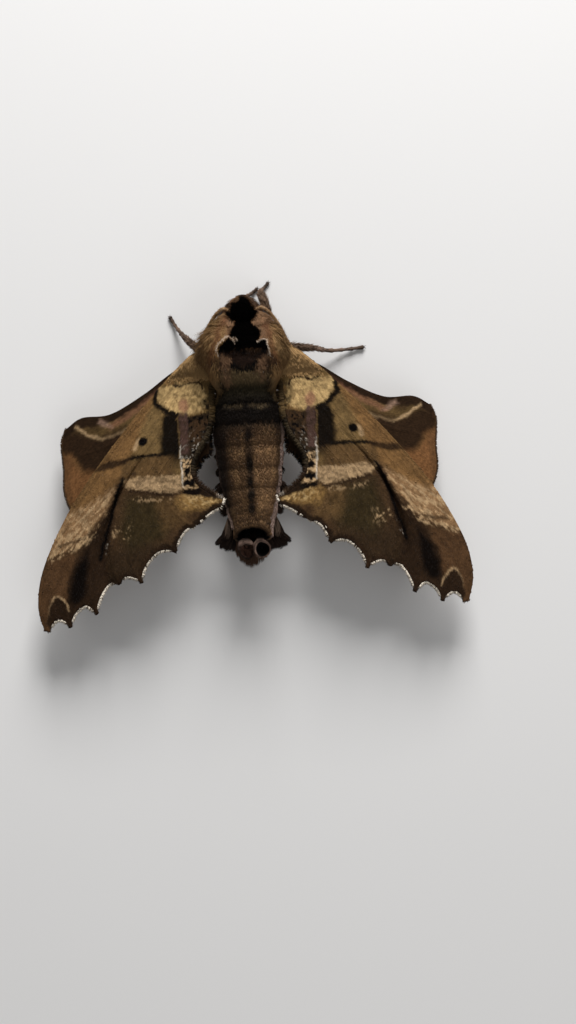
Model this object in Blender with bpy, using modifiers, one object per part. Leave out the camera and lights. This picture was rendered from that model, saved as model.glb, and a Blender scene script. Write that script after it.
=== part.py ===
"""A sphinx moth at rest on a flat surface, life size, as a still museum model.

The moth stands on its six feet with its head towards +Y and its back up, as if the wall it
sat on were the floor. The forewings lie over the hindwings, whose front lobes stand out ahead
of them, and the tip of the abdomen curls up.

Every size below is in millimetres. finish_node() turns each finished mesh into metres.
"""

import math

import bmesh
import bpy
from mathutils import Matrix, Vector

MM = 0.001
GAP = 0.3  # clearance between neighbouring pieces
FLOOR_WIDTH = 80.0  # block that trims the feet flat
FLOOR_DEPTH = 3.0

# Body sections, front to back: y, centre height, lean in degrees, half width, rise, drop.
HEAD = (
    (16.0, 6.40, 0, 2.45, 2.30, 2.20),
    (16.8, 6.45, 0, 2.70, 2.65, 2.40),
    (17.7, 6.40, 0, 2.55, 2.60, 2.30),
    (18.5, 6.30, 0, 2.10, 2.25, 1.95),
    (19.2, 6.20, 0, 1.45, 1.65, 1.35),
    (19.6, 6.15, 0, 0.70, 0.85, 0.70),
)
THORAX = (
    (15.7, 6.60, 0, 2.90, 2.70, 2.50),
    (15.0, 6.70, 0, 3.70, 3.50, 3.20),
    (13.8, 6.90, 0, 4.40, 4.20, 3.90),
    (12.4, 6.90, 0, 4.70, 4.60, 4.20),
    (10.8, 6.80, 0, 4.70, 4.60, 4.20),
    (9.2, 6.70, 0, 4.40, 4.30, 4.00),
    (8.1, 6.60, 0, 4.10, 4.00, 3.80),
    (7.4, 6.55, 0, 3.90, 3.80, 3.60),
)
ABDOMEN = (
    (7.1, 6.55, 0, 3.85, 3.75, 3.50),
    (6.6, 6.50, 0, 4.00, 3.90, 3.55),
    (5.2, 6.40, 0, 4.35, 4.05, 3.60),
    (3.7, 6.25, 0, 4.45, 4.05, 3.60),
    (2.4, 6.15, 0, 4.40, 4.00, 3.60),
    (1.0, 6.05, 0, 4.30, 3.90, 3.50),
    (-0.4, 6.00, 0, 4.15, 3.80, 3.45),
    (-1.8, 5.95, 0, 4.00, 3.65, 3.30),
    (-3.1, 5.95, 0, 3.85, 3.50, 3.20),
    (-4.4, 6.00, 2, 3.65, 3.35, 3.10),
    (-5.6, 6.10, 6, 3.45, 3.20, 3.00),
    (-6.7, 6.30, 13, 3.25, 3.00, 2.85),
    (-7.6, 6.55, 22, 3.05, 2.80, 2.70),
    (-8.4, 6.85, 33, 2.85, 2.60, 2.60),
    (-9.2, 7.05, 42, 2.60, 2.45, 2.50),
    (-9.9, 7.30, 50, 2.40, 2.30, 2.35),
)
SEGMENT_ENDS = (3, 5, 7, 9, 11, 13)  # sections of ABDOMEN where one ring overlaps the next
SEGMENT_STEP = 0.2
SEGMENT_SLIP = 0.15
PLEAT_RISE = 0.12  # ridge along each flank where the back plates end
TAIL_CUP_RIM = 0.5
TAIL_CUP_DEPTH = 1.3
BODY_SIDES = 24
HEAD_SIDES = 18

# Shoulder plates: y, inner half width, thickness, lower and upper edge in degrees.
TEGULA = (
    (17.3, 2.95, 0.25, 30, 50),
    (16.5, 3.35, 0.70, 26, 56),
    (15.5, 4.05, 0.90, 23, 60),
    (14.2, 4.65, 1.05, 21, 60),
    (12.8, 5.05, 1.05, 20, 58),
    (11.4, 5.10, 0.95, 20, 56),
    (10.0, 4.95, 0.80, 21, 54),
    (8.7, 4.65, 0.60, 24, 52),
    (7.6, 4.40, 0.25, 30, 46),
)
TEGULA_ARC = 7
TEGULA_RISE = 0.96  # height over width of the shell that the plates lie on

EYE_CENTRE = Vector((2.15, 17.1, 5.7))
EYE_RADIUS = 1.15

# Wing frame: the height of the forewing's middle surface over the floor.
HINGE = Vector((4.6, 11.6))
HINGE_HEIGHT = 7.4
ARCH_RISE = 0.9
ARCH_REACH = 18.0
SIDE_DROOP = 3.6
HALF_SPAN = 27.0
# How far each wing lies behind the mean, for each millimetre out from the hinge.
FOREWING_SWEEP = {"left": 0.033, "right": -0.033}
HINDWING_SWEEP = {"left": 0.028, "right": -0.028}

MEMBRANE = 0.5
VEIN = 0.85
EDGE = 0.42
FOREWING_VEIN_STEPS = 4  # lines from one vein to the next
SCALLOP_STEPS = 4
SCALLOP_MARGIN = 1.5
CUTTER_HEIGHTS = (1.0, 11.0)
WING_ROWS = 13
TOOTH_HALF = 0.4  # half width of a tooth's blunt end
VEIN_START = 0.18  # share of the wing's length over which the veins rise from the root
FRONT_FADE = 1.15  # how fast the bend of the costa fades towards the inner margin
BACK_FULL = 0.88  # lines beyond this share follow the inner margin's whole bend
BACK_FADE = 1.6

FOREWING_COSTA = (
    (4.75, 13.4), (6.6, 12.6), (11.0, 8.5), (17.5, 1.3), (22.8, -5.5), (26.6, -12.5),
    (27.65, -17.3), (27.0, -20.6),
)
FOREWING_DORSUM = (
    (4.65, 9.5), (4.7, 7.0), (4.8, 4.6), (5.3, 2.6), (6.4, 0.8), (7.2, -0.8), (7.3, -2.3),
    (6.75, -3.6), (5.6, -4.7), (4.5, -5.4), (3.45, -5.85),
)
# Outer margin from the tip inwards: the tooth at each vein's end, and the hollow after it.
FOREWING_TEETH = (
    (26.4, -20.85), (23.5, -20.4), (19.95, -18.95), (17.0, -15.3), (14.1, -15.5), (9.6, -11.85),
    (7.2, -9.0), (3.8, -6.7),
)
FOREWING_HOLLOWS = (
    (25.1, -19.35), (21.6, -17.8), (18.6, -15.5), (15.9, -14.5), (12.3, -12.0), (8.6, -9.5),
    (5.4, -7.5),
)
CREASE_COLUMN = 0.36
CREASE_WIDTH = 0.05
CREASE_DEPTH = 0.55

HINDWING_DROP = 1.25
HINDWING_LOBE_DROOP = 1.3
HINDWING_ROWS = 10
HINDWING_VEIN_STEPS = 4
HINDWING_COSTA = (
    (4.95, 10.7), (7.0, 11.3), (9.2, 10.6), (12.9, 8.15), (17.3, 6.0), (21.1, 5.85),
    (23.3, 4.65),
)
HINDWING_DORSUM = ((4.65, 7.8), (4.75, 4.0), (5.0, 0.0))
HINDWING_MARGIN = (
    (23.95, 2.7), (23.75, -0.8), (23.8, -3.5), (22.9, -6.0), (20.9, -8.2),
    (17.6, -9.8), (13.9, -9.7), (10.8, -8.1), (8.8, -5.4), (7.3, -2.6), (5.8, -0.3),
)


# Legs: joint points from the hip, hidden in the thorax, to the foot, each with a radius.
LEGS = {
    "foreleg_left": (
        (-1.6, 13.3, 4.6, 0.75), (-1.9, 15.2, 2.7, 0.68), (-2.3, 17.6, 2.4, 0.6),
        (-0.9, 19.4, 2.0, 0.5), (0.4, 20.3, 1.1, 0.38), (1.1, 20.8, 0.38, 0.3),
        (1.85, 21.4, 0.2, 0.32),
    ),
    "foreleg_right": (
        (1.6, 13.3, 4.6, 0.75), (2.1, 15.2, 2.8, 0.7), (2.9, 17.4, 3.0, 0.68),
        (2.75, 19.2, 3.2, 0.66), (2.3, 20.5, 2.3, 0.5), (2.45, 21.1, 0.9, 0.33),
        (2.8, 21.5, 0.32, 0.3), (3.3, 22.1, 0.2, 0.32),
    ),
    "midleg_left": (
        (-2.0, 11.3, 4.6, 0.75), (-3.1, 12.0, 2.6, 0.65), (-5.4, 13.1, 3.2, 0.6),
        (-7.4, 15.0, 2.1, 0.5), (-8.4, 16.2, 1.1, 0.36), (-9.1, 17.3, 0.4, 0.3),
        (-9.6, 18.2, 0.22, 0.36),
    ),
    "midleg_right": (
        (2.0, 11.3, 4.6, 0.75), (3.1, 12.0, 2.6, 0.65), (5.4, 13.2, 3.2, 0.6),
        (8.3, 13.2, 2.5, 0.5), (10.6, 12.85, 1.5, 0.4), (12.8, 12.95, 0.6, 0.32),
        (15.3, 13.2, 0.22, 0.36),
    ),
    "hindleg_left": (
        (-1.8, 8.9, 4.2, 0.75), (-2.7, 8.1, 2.4, 0.65), (-5.6, 5.4, 2.9, 0.62),
        (-8.2, -0.6, 2.0, 0.5), (-8.9, -2.6, 1.2, 0.36), (-9.4, -4.4, 0.5, 0.3),
        (-9.9, -6.4, 0.22, 0.34),
    ),
    "hindleg_right": (
        (1.8, 8.9, 4.2, 0.75), (2.7, 8.1, 2.4, 0.65), (5.6, 5.4, 2.9, 0.62),
        (8.2, -0.6, 2.0, 0.5), (8.9, -2.6, 1.2, 0.36), (9.4, -4.4, 0.5, 0.3),
        (9.9, -6.4, 0.22, 0.34),
    ),
}
LEG_STEPS = 4

ANTENNA = (
    (1.3, 17.2, 7.4, 0.42), (2.3, 17.9, 7.9, 0.44), (3.4, 17.2, 7.35, 0.46),
    (4.5, 15.7, 6.5, 0.48), (5.35, 14.0, 5.4, 0.48), (6.8, 11.8, 4.95, 0.45),
    (8.7, 9.6, 4.8, 0.38), (10.4, 7.6, 4.6, 0.25),
)
ANTENNA_STEPS = 3

PALP = (
    (0.95, 16.9, 4.9, 0.6), (0.98, 17.7, 3.9, 0.72), (0.95, 18.6, 3.85, 0.7),
    (0.85, 19.2, 4.7, 0.55), (0.8, 19.35, 5.5, 0.3),
)
CLASPER = (
    (0.78, -9.75, 6.25, 0.5), (0.85, -10.7, 7.0, 0.55), (1.02, -11.7, 7.5, 0.72),
    (1.12, -12.2, 8.1, 0.88), (1.12, -12.1, 8.75, 0.86), (1.08, -11.95, 9.05, 0.5),
)

# Scale tufts: root, tip, half width, half thickness. The x of each is for the right side.
TAIL_TUFT = (
    ((2.0, -8.9, 5.6), (4.0, -10.9, 5.0), 0.85, 0.45),
    ((2.2, -9.2, 5.5), (4.9, -11.5, 4.8), 0.75, 0.42),
    ((2.0, -9.5, 5.3), (3.75, -12.4, 4.8), 0.8, 0.42),
    ((1.8, -9.4, 5.4), (2.9, -12.2, 5.0), 0.75, 0.4),
)
TAIL_BRUSH = (
    ((0.0, -9.4, 4.9), (-0.4, -14.6, 4.5), 0.95, 0.55),
    ((-0.7, -9.4, 4.9), (-1.5, -13.9, 4.6), 0.85, 0.5),
    ((0.7, -9.4, 4.9), (0.7, -14.1, 4.6), 0.85, 0.5),
    ((-1.3, -9.3, 5.0), (-2.1, -12.7, 4.8), 0.7, 0.45),
    ((1.3, -9.3, 5.0), (1.8, -12.9, 4.8), 0.7, 0.45),
)
SIDE_TUFTS = (  # y of the root, half width of the body there, reach beyond it
    (-0.4, 4.15, 0.55), (-2.5, 3.9, 0.8), (-4.7, 3.6, 1.0), (-6.7, 3.25, 1.05),
)
SIDE_TUFT_HEIGHT = 5.0
SIDE_TUFT_SIZE = (0.55, 0.34)
TUFT_SIDES = 6
TUFT_STATIONS = ((0.0, 1.0), (0.35, 1.05), (0.7, 0.72), (0.9, 0.36))

COLOURS = {  # base colour and roughness of each kind of surface
    "black_crest": ((0.020, 0.014, 0.011), 0.9),
    "shoulder_scales": ((0.23, 0.155, 0.085), 0.85),
    "thorax_scales": ((0.06, 0.042, 0.028), 0.9),
    "abdomen_scales": ((0.13, 0.085, 0.05), 0.85),
    "dark_scales": ((0.035, 0.026, 0.021), 0.9),
    "clasper_scales": ((0.10, 0.068, 0.055), 0.85),
    "forewing_scales": ((0.17, 0.115, 0.062), 0.8),
    "hindwing_scales": ((0.13, 0.075, 0.045), 0.8),
    "leg_scales": ((0.20, 0.145, 0.12), 0.8),
    "antenna_scales": ((0.27, 0.20, 0.15), 0.75),
    "eye": ((0.012, 0.009, 0.008), 0.25),
}


# Scene, objects and materials

def clear_scene():
    for obj in list(bpy.data.objects):
        bpy.data.objects.remove(obj)


def make_material(name):
    colour, roughness = COLOURS[name]
    made = bpy.data.materials.new(name)
    made.use_nodes = True
    shader = made.node_tree.nodes["Principled BSDF"]
    shader.inputs["Base Color"].default_value = (*colour, 1.0)
    shader.inputs["Roughness"].default_value = roughness
    shader.inputs["Metallic"].default_value = 0.0
    return made


def new_object(name, mesh):
    made = bpy.data.objects.new(name, mesh)
    bpy.context.scene.collection.objects.link(made)
    return made


def object_from_bmesh(name, shape):
    bmesh.ops.recalc_face_normals(shape, faces=shape.faces)
    mesh = bpy.data.meshes.new(name)
    shape.to_mesh(mesh)
    shape.free()
    return new_object(name, mesh)


def apply_modifiers(obj):
    """Replaces the object's mesh by its evaluated one, and drops its modifiers."""
    graph = bpy.context.evaluated_depsgraph_get()
    graph.update()
    made = bpy.data.meshes.new_from_object(obj.evaluated_get(graph))
    obj.modifiers.clear()
    obj.data = made


def remove(objects):
    for obj in objects:
        bpy.data.objects.remove(obj)


def boolean(target, others, operation, solver="EXACT"):
    """Joins others to target, or cuts them from it, in one step, and removes them."""
    group = bpy.data.collections.new("operands")
    bpy.context.scene.collection.children.link(group)
    for obj in others:
        group.objects.link(obj)
    modifier = target.modifiers.new("boolean", "BOOLEAN")
    modifier.operation = operation
    modifier.operand_type = "COLLECTION"
    modifier.collection = group
    modifier.solver = solver
    apply_modifiers(target)
    remove(others)
    bpy.data.collections.remove(group)
    keep_largest(target)


def keep_largest(obj):
    """Drops every loose surface except the one that encloses the most."""
    shape = bmesh.new()
    shape.from_mesh(obj.data)
    unseen = set(shape.verts)
    bodies = []
    while unseen:
        body, reach = set(), [unseen.pop()]
        while reach:
            vert = reach.pop()
            body.add(vert)
            for edge in vert.link_edges:
                other = edge.other_vert(vert)
                if other in unseen:
                    unseen.discard(other)
                    reach.append(other)
        bodies.append(body)
    if len(bodies) > 1:
        bodies.sort(key=box_volume)
        for body in bodies[:-1]:
            bmesh.ops.delete(shape, geom=list(body), context="VERTS")
        shape.to_mesh(obj.data)
    shape.free()


def box_volume(verts):
    sides = [max(v.co[i] for v in verts) - min(v.co[i] for v in verts) for i in range(3)]
    return sides[0] * sides[1] * sides[2]


def finish_node(obj, material, origin):
    """Turns a mesh made in millimetres into a named part in metres, with its origin at its root."""
    centre = Vector(origin)
    obj.data.transform(Matrix.Translation(-centre))
    obj.data.transform(Matrix.Scale(MM, 4))
    obj.location = centre * MM
    obj.data.materials.clear()
    obj.data.materials.append(material)
    obj.data.shade_smooth()
    obj.data.set_sharp_from_angle(angle=math.radians(50))


# Curves, lofts and tubes

def spline(points, steps):
    """Points on a Catmull-Rom curve through the given ones, steps to each span."""
    vectors = [Vector(p) for p in points]
    padded = [2 * vectors[0] - vectors[1], *vectors, 2 * vectors[-1] - vectors[-2]]
    found = []
    for i in range(1, len(padded) - 2):
        a, b, c, d = padded[i - 1 : i + 3]
        for k in range(steps):
            t = k / steps
            found.append(
                0.5 * (2 * b + (c - a) * t + (2 * a - 5 * b + 4 * c - d) * t**2
                       + (3 * b - a - 3 * c + d) * t**3)
            )
    return [*found, vectors[-1]]


def even_points(points, count):
    """The curve through the points, as count points evenly spaced along it."""
    fine = spline(points, 24)
    travelled = [0.0]
    for a, b in zip(fine, fine[1:]):
        travelled.append(travelled[-1] + (b - a).length)
    found, i = [], 0
    for k in range(count):
        want = travelled[-1] * k / (count - 1)
        while i < len(fine) - 2 and travelled[i + 1] < want:
            i += 1
        span = travelled[i + 1] - travelled[i]
        found.append(fine[i].lerp(fine[i + 1], (want - travelled[i]) / span))
    return found


def loft(name, rings, tip=None):
    """A closed skin over rings of equal length, capped at both ends or drawn to a tip."""
    shape = bmesh.new()
    loops = [[shape.verts.new(p) for p in ring] for ring in rings]
    for near, far in zip(loops, loops[1:]):
        for i in range(len(near)):
            j = (i + 1) % len(near)
            shape.faces.new((near[i], near[j], far[j], far[i]))
    shape.faces.new(loops[0])
    if tip is None:
        shape.faces.new(loops[-1])
    else:
        point = shape.verts.new(tip)
        for i in range(len(loops[-1])):
            shape.faces.new((loops[-1][i - 1], loops[-1][i], point))
    bmesh.ops.triangulate(shape, faces=[f for f in shape.faces if len(f.verts) > 4])
    return object_from_bmesh(name, shape)


def tube(name, joints, steps):
    """A tapering tube with round section through joints of x, y, z and radius."""
    points = spline(joints, steps)
    curve = bpy.data.curves.new(name, "CURVE")
    curve.dimensions = "3D"
    curve.bevel_depth = 1.0
    curve.bevel_resolution = 2
    curve.use_fill_caps = True
    line = curve.splines.new("POLY")
    line.points.add(len(points) - 1)
    for target, point in zip(line.points, points):
        target.co = (*point[:3], 1.0)
        target.radius = point[3]
    source = new_object(name, curve)
    graph = bpy.context.evaluated_depsgraph_get()
    mesh = bpy.data.meshes.new_from_object(source.evaluated_get(graph))
    bpy.data.objects.remove(source)
    shape = bmesh.new()
    shape.from_mesh(mesh)
    bmesh.ops.remove_doubles(shape, verts=shape.verts, dist=0.001)
    return object_from_bmesh(name, shape)


def mirrored(joints):
    return [(-joint[0], *joint[1:]) for joint in joints]


def tuft(name, root, tip, half_width, half_thickness):
    """One flat, tapered bundle of long scales, from a root that is sunk in its parent."""
    start, end = Vector(root), Vector(tip)
    along = (end - start).normalized()
    across = along.cross(Vector((0, 0, 1))).normalized()
    over = across.cross(along)
    rings = []
    for share, size in TUFT_STATIONS:
        centre = start.lerp(end, share)
        ring = []
        for k in range(TUFT_SIDES):
            turn = 2 * math.pi * k / TUFT_SIDES
            offset = across * half_width * math.cos(turn) + over * half_thickness * math.sin(turn)
            ring.append(centre + offset * size)
        rings.append(ring)
    return loft(name, rings, end)


# Body

def oval(section, sides, grow=0.0):
    """The ring of one body section. Lean tips the ring's top forwards as the body curls up."""
    y, height, lean, half_width, rise, drop = section
    tip = math.radians(lean)
    up = Vector((0, math.sin(tip), math.cos(tip)))
    points = []
    for k in range(sides):
        turn = 2 * math.pi * k / sides
        vertical = (rise if math.sin(turn) >= 0 else drop) + grow
        points.append(
            Vector((0, y, height))
            + Vector(((half_width + grow) * math.cos(turn), 0, 0))
            + up * vertical * math.sin(turn)
        )
    return points


def shifted(section, slip, shrink):
    """The same section a little further back, and smaller."""
    y, height, lean, half_width, rise, drop = section
    tip = math.radians(lean)
    return (
        y - slip * math.cos(tip), height + slip * math.sin(tip), lean,
        half_width - shrink, rise - shrink, drop - shrink,
    )


def clearance(name, sections, sides):
    """A body a gap larger all round, to trim what grows from it."""
    step = GAP if sections[0][0] > sections[-1][0] else -GAP
    first, last = shifted(sections[0], -step, 0), shifted(sections[-1], step, 0)
    return loft(name, [oval(s, sides, GAP) for s in (first, *sections, last)])


def make_head():
    return loft("head", [oval(s, HEAD_SIDES) for s in HEAD])


def make_thorax():
    return loft("thorax", [oval(s, BODY_SIDES) for s in THORAX])


def make_abdomen():
    """The ringed abdomen, with a cup at its raised end and scale tufts along its sides."""
    sections = []
    for i, section in enumerate(ABDOMEN):
        sections.append(section)
        if i in SEGMENT_ENDS:
            sections.append(shifted(section, SEGMENT_SLIP, SEGMENT_STEP))
    sections.append(shifted(ABDOMEN[-1], 0.0, TAIL_CUP_RIM))
    sections.append(shifted(ABDOMEN[-1], -TAIL_CUP_DEPTH, TAIL_CUP_RIM + 0.25))
    rings = [oval(s, BODY_SIDES) for s in sections]
    flank = BODY_SIDES - 1  # the corner just below each side's middle
    for ring in rings[: -2]:
        for corner, side in ((flank, 1), (BODY_SIDES // 2 + 1, -1)):
            ring[corner] = ring[corner] + Vector((side * PLEAT_RISE, 0, 0))
    made = loft("abdomen", rings)
    half_width, half_thickness = SIDE_TUFT_SIZE
    tufts = []
    for y, body, reach in SIDE_TUFTS:
        for side in (-1, 1):
            root = (side * (body - 1.0), y + 0.7, SIDE_TUFT_HEIGHT + 0.2)
            tip = (side * (body + reach), y - 1.0, SIDE_TUFT_HEIGHT - 0.3)
            tufts.append(tuft("side_tuft", root, tip, half_width, half_thickness))
    boolean(made, tufts, "UNION")
    return made


def make_tegula(name, side):
    """A curved plate that lies over the shoulder and the root of the forewing."""
    rings = []
    for y, inner, thickness, low, high in TEGULA:
        centre = body_section(y)[1]
        outer_arc, inner_arc = [], []
        for k in range(TEGULA_ARC):
            share = k / (TEGULA_ARC - 1)
            turn = math.radians(low + (high - low) * share)
            swell = math.sin(math.pi * (0.12 + 0.76 * share))
            for arc, reach in ((outer_arc, inner + thickness * swell), (inner_arc, inner)):
                arc.append(Vector((
                    side * reach * math.cos(turn), y,
                    centre + reach * TEGULA_RISE * math.sin(turn),
                )))
        rings.append([*outer_arc, *reversed(inner_arc)])
    return loft(name, rings)


def make_eye(name, side):
    shape = bmesh.new()
    bmesh.ops.create_uvsphere(shape, u_segments=14, v_segments=9, radius=EYE_RADIUS)
    made = object_from_bmesh(name, shape)
    made.data.transform(Matrix.Translation(Vector((side * EYE_CENTRE.x, *EYE_CENTRE.yz))))
    boolean(made, [clearance("head_clearance", HEAD, HEAD_SIDES)], "DIFFERENCE")
    return made


def body_section(y):
    """The body's section at y, between the stations of the head and the thorax."""
    stations = [*HEAD[::-1], *THORAX]
    if y >= stations[0][0]:
        return stations[0]
    for near, far in zip(stations, stations[1:]):
        if near[0] >= y >= far[0]:
            share = (near[0] - y) / (near[0] - far[0])
            return tuple(a + (b - a) * share for a, b in zip(near, far))
    return stations[-1]


def side_of_thorax(y, z):
    """How far from the middle the thorax's side is, at that place and height."""
    _, centre, _, half_width, rise, drop = body_section(y)
    reach = (z - centre) / (rise if z > centre else drop)
    return half_width * math.sqrt(max(0.0, 1.0 - reach * reach))


# Wings

def wing_height(x, y):
    """Height of the forewing's middle surface: arched near the body, drooping to the side."""
    from_hinge = min(1.0, (Vector((x, y)) - HINGE).length / ARCH_REACH)
    arch = from_hinge * from_hinge * (3 - 2 * from_hinge)
    return HINGE_HEIGHT + ARCH_RISE * arch - SIDE_DROOP * (x / HALF_SPAN) ** 2.2


def chord_shape(points):
    """A curve's points as shares along and across the straight line between its ends."""
    start, end = points[0], points[-1]
    chord = end - start
    square = chord.length_squared
    across = Vector((-chord.y, chord.x))
    return [((p - start).dot(chord) / square, (p - start).dot(across) / square) for p in points]


def margin_lines(corners, steps, rounded):
    """The outer margin from the tip inwards, as points with how far each lies between two
    veins: 0 on a vein, which ends at each corner but the first and the last."""
    points = [Vector(p) for p in corners]
    if rounded:
        line = spline(points, steps)
    else:
        line = [a.lerp(b, k / steps) for a, b in zip(points, points[1:]) for k in range(steps)]
        line.append(points[-1])
    last = len(line) - 1
    return [(p, 1 if i in (0, last) else i % steps) for i, p in enumerate(line)]


def wing_grid(costa, dorsum, margin, rows):
    """Points of a wing in plan: a line from the root to each point of the margin, with the
    line's share of the way from the costa to the inner margin, and its place between veins."""
    front = chord_shape(even_points(costa, rows))
    back = chord_shape(even_points(dorsum, rows))
    root_front, root_back = Vector(costa[0]), Vector(dorsum[0])
    travelled = [0.0]
    for (a, _), (b, _) in zip(margin, margin[1:]):
        travelled.append(travelled[-1] + (b - a).length)
    grid = []
    for (end, between), reached in zip(margin, travelled):
        share = reached / travelled[-1]
        root = root_front.lerp(root_back, share)
        chord = end - root
        across = Vector((-chord.y, chord.x))
        of_front = (1 - share) ** FRONT_FADE
        of_back = min(1.0, share / BACK_FULL) ** BACK_FADE
        line = []
        for row in range(rows):
            even = row / (rows - 1)
            along = even + of_front * (front[row][0] - even) + of_back * (back[row][0] - even)
            bow = of_front * front[row][1] + of_back * back[row][1]
            line.append((root + chord * along + across * bow, even))
        grid.append((line, share, between))
    return grid


def hollow_outline(tooth, hollow, after):
    """What is cut from the margin between two teeth: two quarter ovals that meet at the hollow,
    closed beyond the margin."""
    chord = (Vector(after) - Vector(tooth)).normalized()
    start = Vector(tooth) + chord * TOOTH_HALF
    end = Vector(after) - chord * TOOTH_HALF
    low = Vector(hollow)
    along = (low - start).dot(chord)
    inward = low - start - chord * along
    rest = (end - start).length - along
    points = []
    for k in range(SCALLOP_STEPS + 1):
        turn = math.pi / 2 * k / SCALLOP_STEPS
        points.append(start + chord * along * (1 - math.cos(turn)) + inward * math.sin(turn))
    for k in range(1, SCALLOP_STEPS + 1):
        turn = math.pi / 2 * k / SCALLOP_STEPS
        points.append(start + chord * (along + rest * math.sin(turn)) + inward * math.cos(turn))
    outward = inward.normalized() * -SCALLOP_MARGIN
    return [*points, end + outward, start + outward]


def swept(point, slope):
    """A point of the wing set back in proportion to its distance out from the hinge."""
    return Vector((point.x, point.y - slope * max(0.0, point.x - HINGE.x)))


def crease(column, share):
    """Depth of the fold that runs to the outer margin behind the wing's tip."""
    spread = math.exp(-(((column - CREASE_COLUMN) / CREASE_WIDTH) ** 2))
    return CREASE_DEPTH * spread * min(1.0, max(0.0, (share - 0.35) / 0.3))


def forewing_height(point, column, share):
    return wing_height(point.x, point.y) - crease(column, share)


def hindwing_height(point, column, share):
    droop = HINDWING_LOBE_DROOP * share**2.2 * (1 - column)
    return wing_height(point.x, point.y) - HINDWING_DROP - droop


def thickness_share(between, row, rows):
    """Thickness over VEIN: full on a vein, thinner on the membrane and at the margin."""
    if row == rows - 1:
        return EDGE / VEIN
    if between > 0.0:
        return MEMBRANE / VEIN
    rise = min(1.0, row / (rows - 1) / VEIN_START)
    return (MEMBRANE + (VEIN - MEMBRANE) * rise) / VEIN


def make_wing(name, side, grid, height, sweep):
    """A wing: one surface of fanning lines, raised along the veins and made thick."""
    mesh_points, weights = [], []
    rows = len(grid[0][0])
    for line, column, between in grid:
        for row, (plan, share) in enumerate(line):
            point = swept(plan, sweep)
            z = height(point, column, share)
            if row == 0:
                point = Vector((side_of_thorax(point.y, z) + GAP + 0.04, point.y))
            mesh_points.append(Vector((side * point.x, point.y, z)))
            weights.append(thickness_share(between, row, rows))
    shape = bmesh.new()
    verts = [shape.verts.new(p) for p in mesh_points]
    for c in range(len(grid) - 1):
        for r in range(rows - 1):
            a, b = c * rows + r, (c + 1) * rows + r
            corners = [verts[a], verts[a + 1], verts[b + 1], verts[b]]
            shape.faces.new(corners if side < 0 else reversed(corners))
    bmesh.ops.triangulate(shape, faces=shape.faces)
    mesh = bpy.data.meshes.new(name)
    shape.to_mesh(mesh)
    shape.free()
    made = new_object(name, mesh)
    group = made.vertex_groups.new(name="thickness")
    for i, weight in enumerate(weights):
        group.add([i], weight, "REPLACE")
    solid = made.modifiers.new("membrane", "SOLIDIFY")
    solid.thickness = VEIN
    solid.offset = 0.0
    solid.vertex_group = group.name
    solid.thickness_vertex_group = 0.0
    apply_modifiers(made)
    return made


def hollow_cutters(side, sweep):
    """An upright block for each hollow of the forewing's margin."""
    made = []
    for tooth, hollow, after in zip(FOREWING_TEETH, FOREWING_HOLLOWS, FOREWING_TEETH[1:]):
        outline = [swept(p, sweep) for p in hollow_outline(tooth, hollow, after)]
        rings = [[(side * p.x, p.y, z) for p in outline] for z in CUTTER_HEIGHTS]
        made.append(loft("hollow_cutter", rings))
    return made


# Assembly

def floor_block():
    shape = bmesh.new()
    bmesh.ops.create_cube(shape, size=1.0)
    made = object_from_bmesh("floor_block", shape)
    made.data.transform(Matrix.Diagonal((FLOOR_WIDTH, FLOOR_WIDTH, FLOOR_DEPTH, 1.0)))
    made.data.transform(Matrix.Translation((0, 0, -FLOOR_DEPTH / 2)))
    return made


def make_leg(name):
    """A leg from hip to foot, trimmed where it meets the thorax and flat under its foot."""
    made = tube(name, LEGS[name], LEG_STEPS)
    trims = [clearance("thorax_clearance", THORAX, BODY_SIDES), floor_block()]
    boolean(made, trims, "DIFFERENCE")
    return made


def make_grown(name, joints, parent_sections, parent_sides, steps):
    """A tube that grows from a part of the body, trimmed a gap clear of it."""
    made = tube(name, joints, steps)
    boolean(made, [clearance("clearance", parent_sections, parent_sides)], "DIFFERENCE")
    return made


def abdomen_clearance():
    sections = [*ABDOMEN, shifted(ABDOMEN[-1], GAP, 0)]
    return loft("abdomen_clearance", [oval(s, BODY_SIDES, GAP + 0.1) for s in sections])


def make_tufts(name, side, rows, grow=0.0):
    made = []
    for root, tip, half_width, half_thickness in rows:
        ends = [(side * p[0], p[1], p[2]) for p in (root, tip)]
        made.append(tuft(name, *ends, half_width + grow, half_thickness + grow))
    return made


def make_tuft_group(name, side, rows, beside=()):
    """Several tufts fused at their roots, trimmed a gap clear of the abdomen and of the
    tufts beside them."""
    made, *others = make_tufts(name, side, rows)
    boolean(made, others, "UNION")
    boolean(made, [abdomen_clearance(), *make_tufts("clearance", 1, beside, GAP)], "DIFFERENCE")
    return made


def middle_of_footprint(nodes):
    """The middle of the nodes' box in plan, in metres."""
    corners = [obj.location + vert.co for obj in nodes for vert in obj.data.vertices]
    low = Vector(min(c[i] for c in corners) for i in range(3))
    high = Vector(max(c[i] for c in corners) for i in range(3))
    return Vector(((low.x + high.x) / 2, (low.y + high.y) / 2, 0.0))


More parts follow.
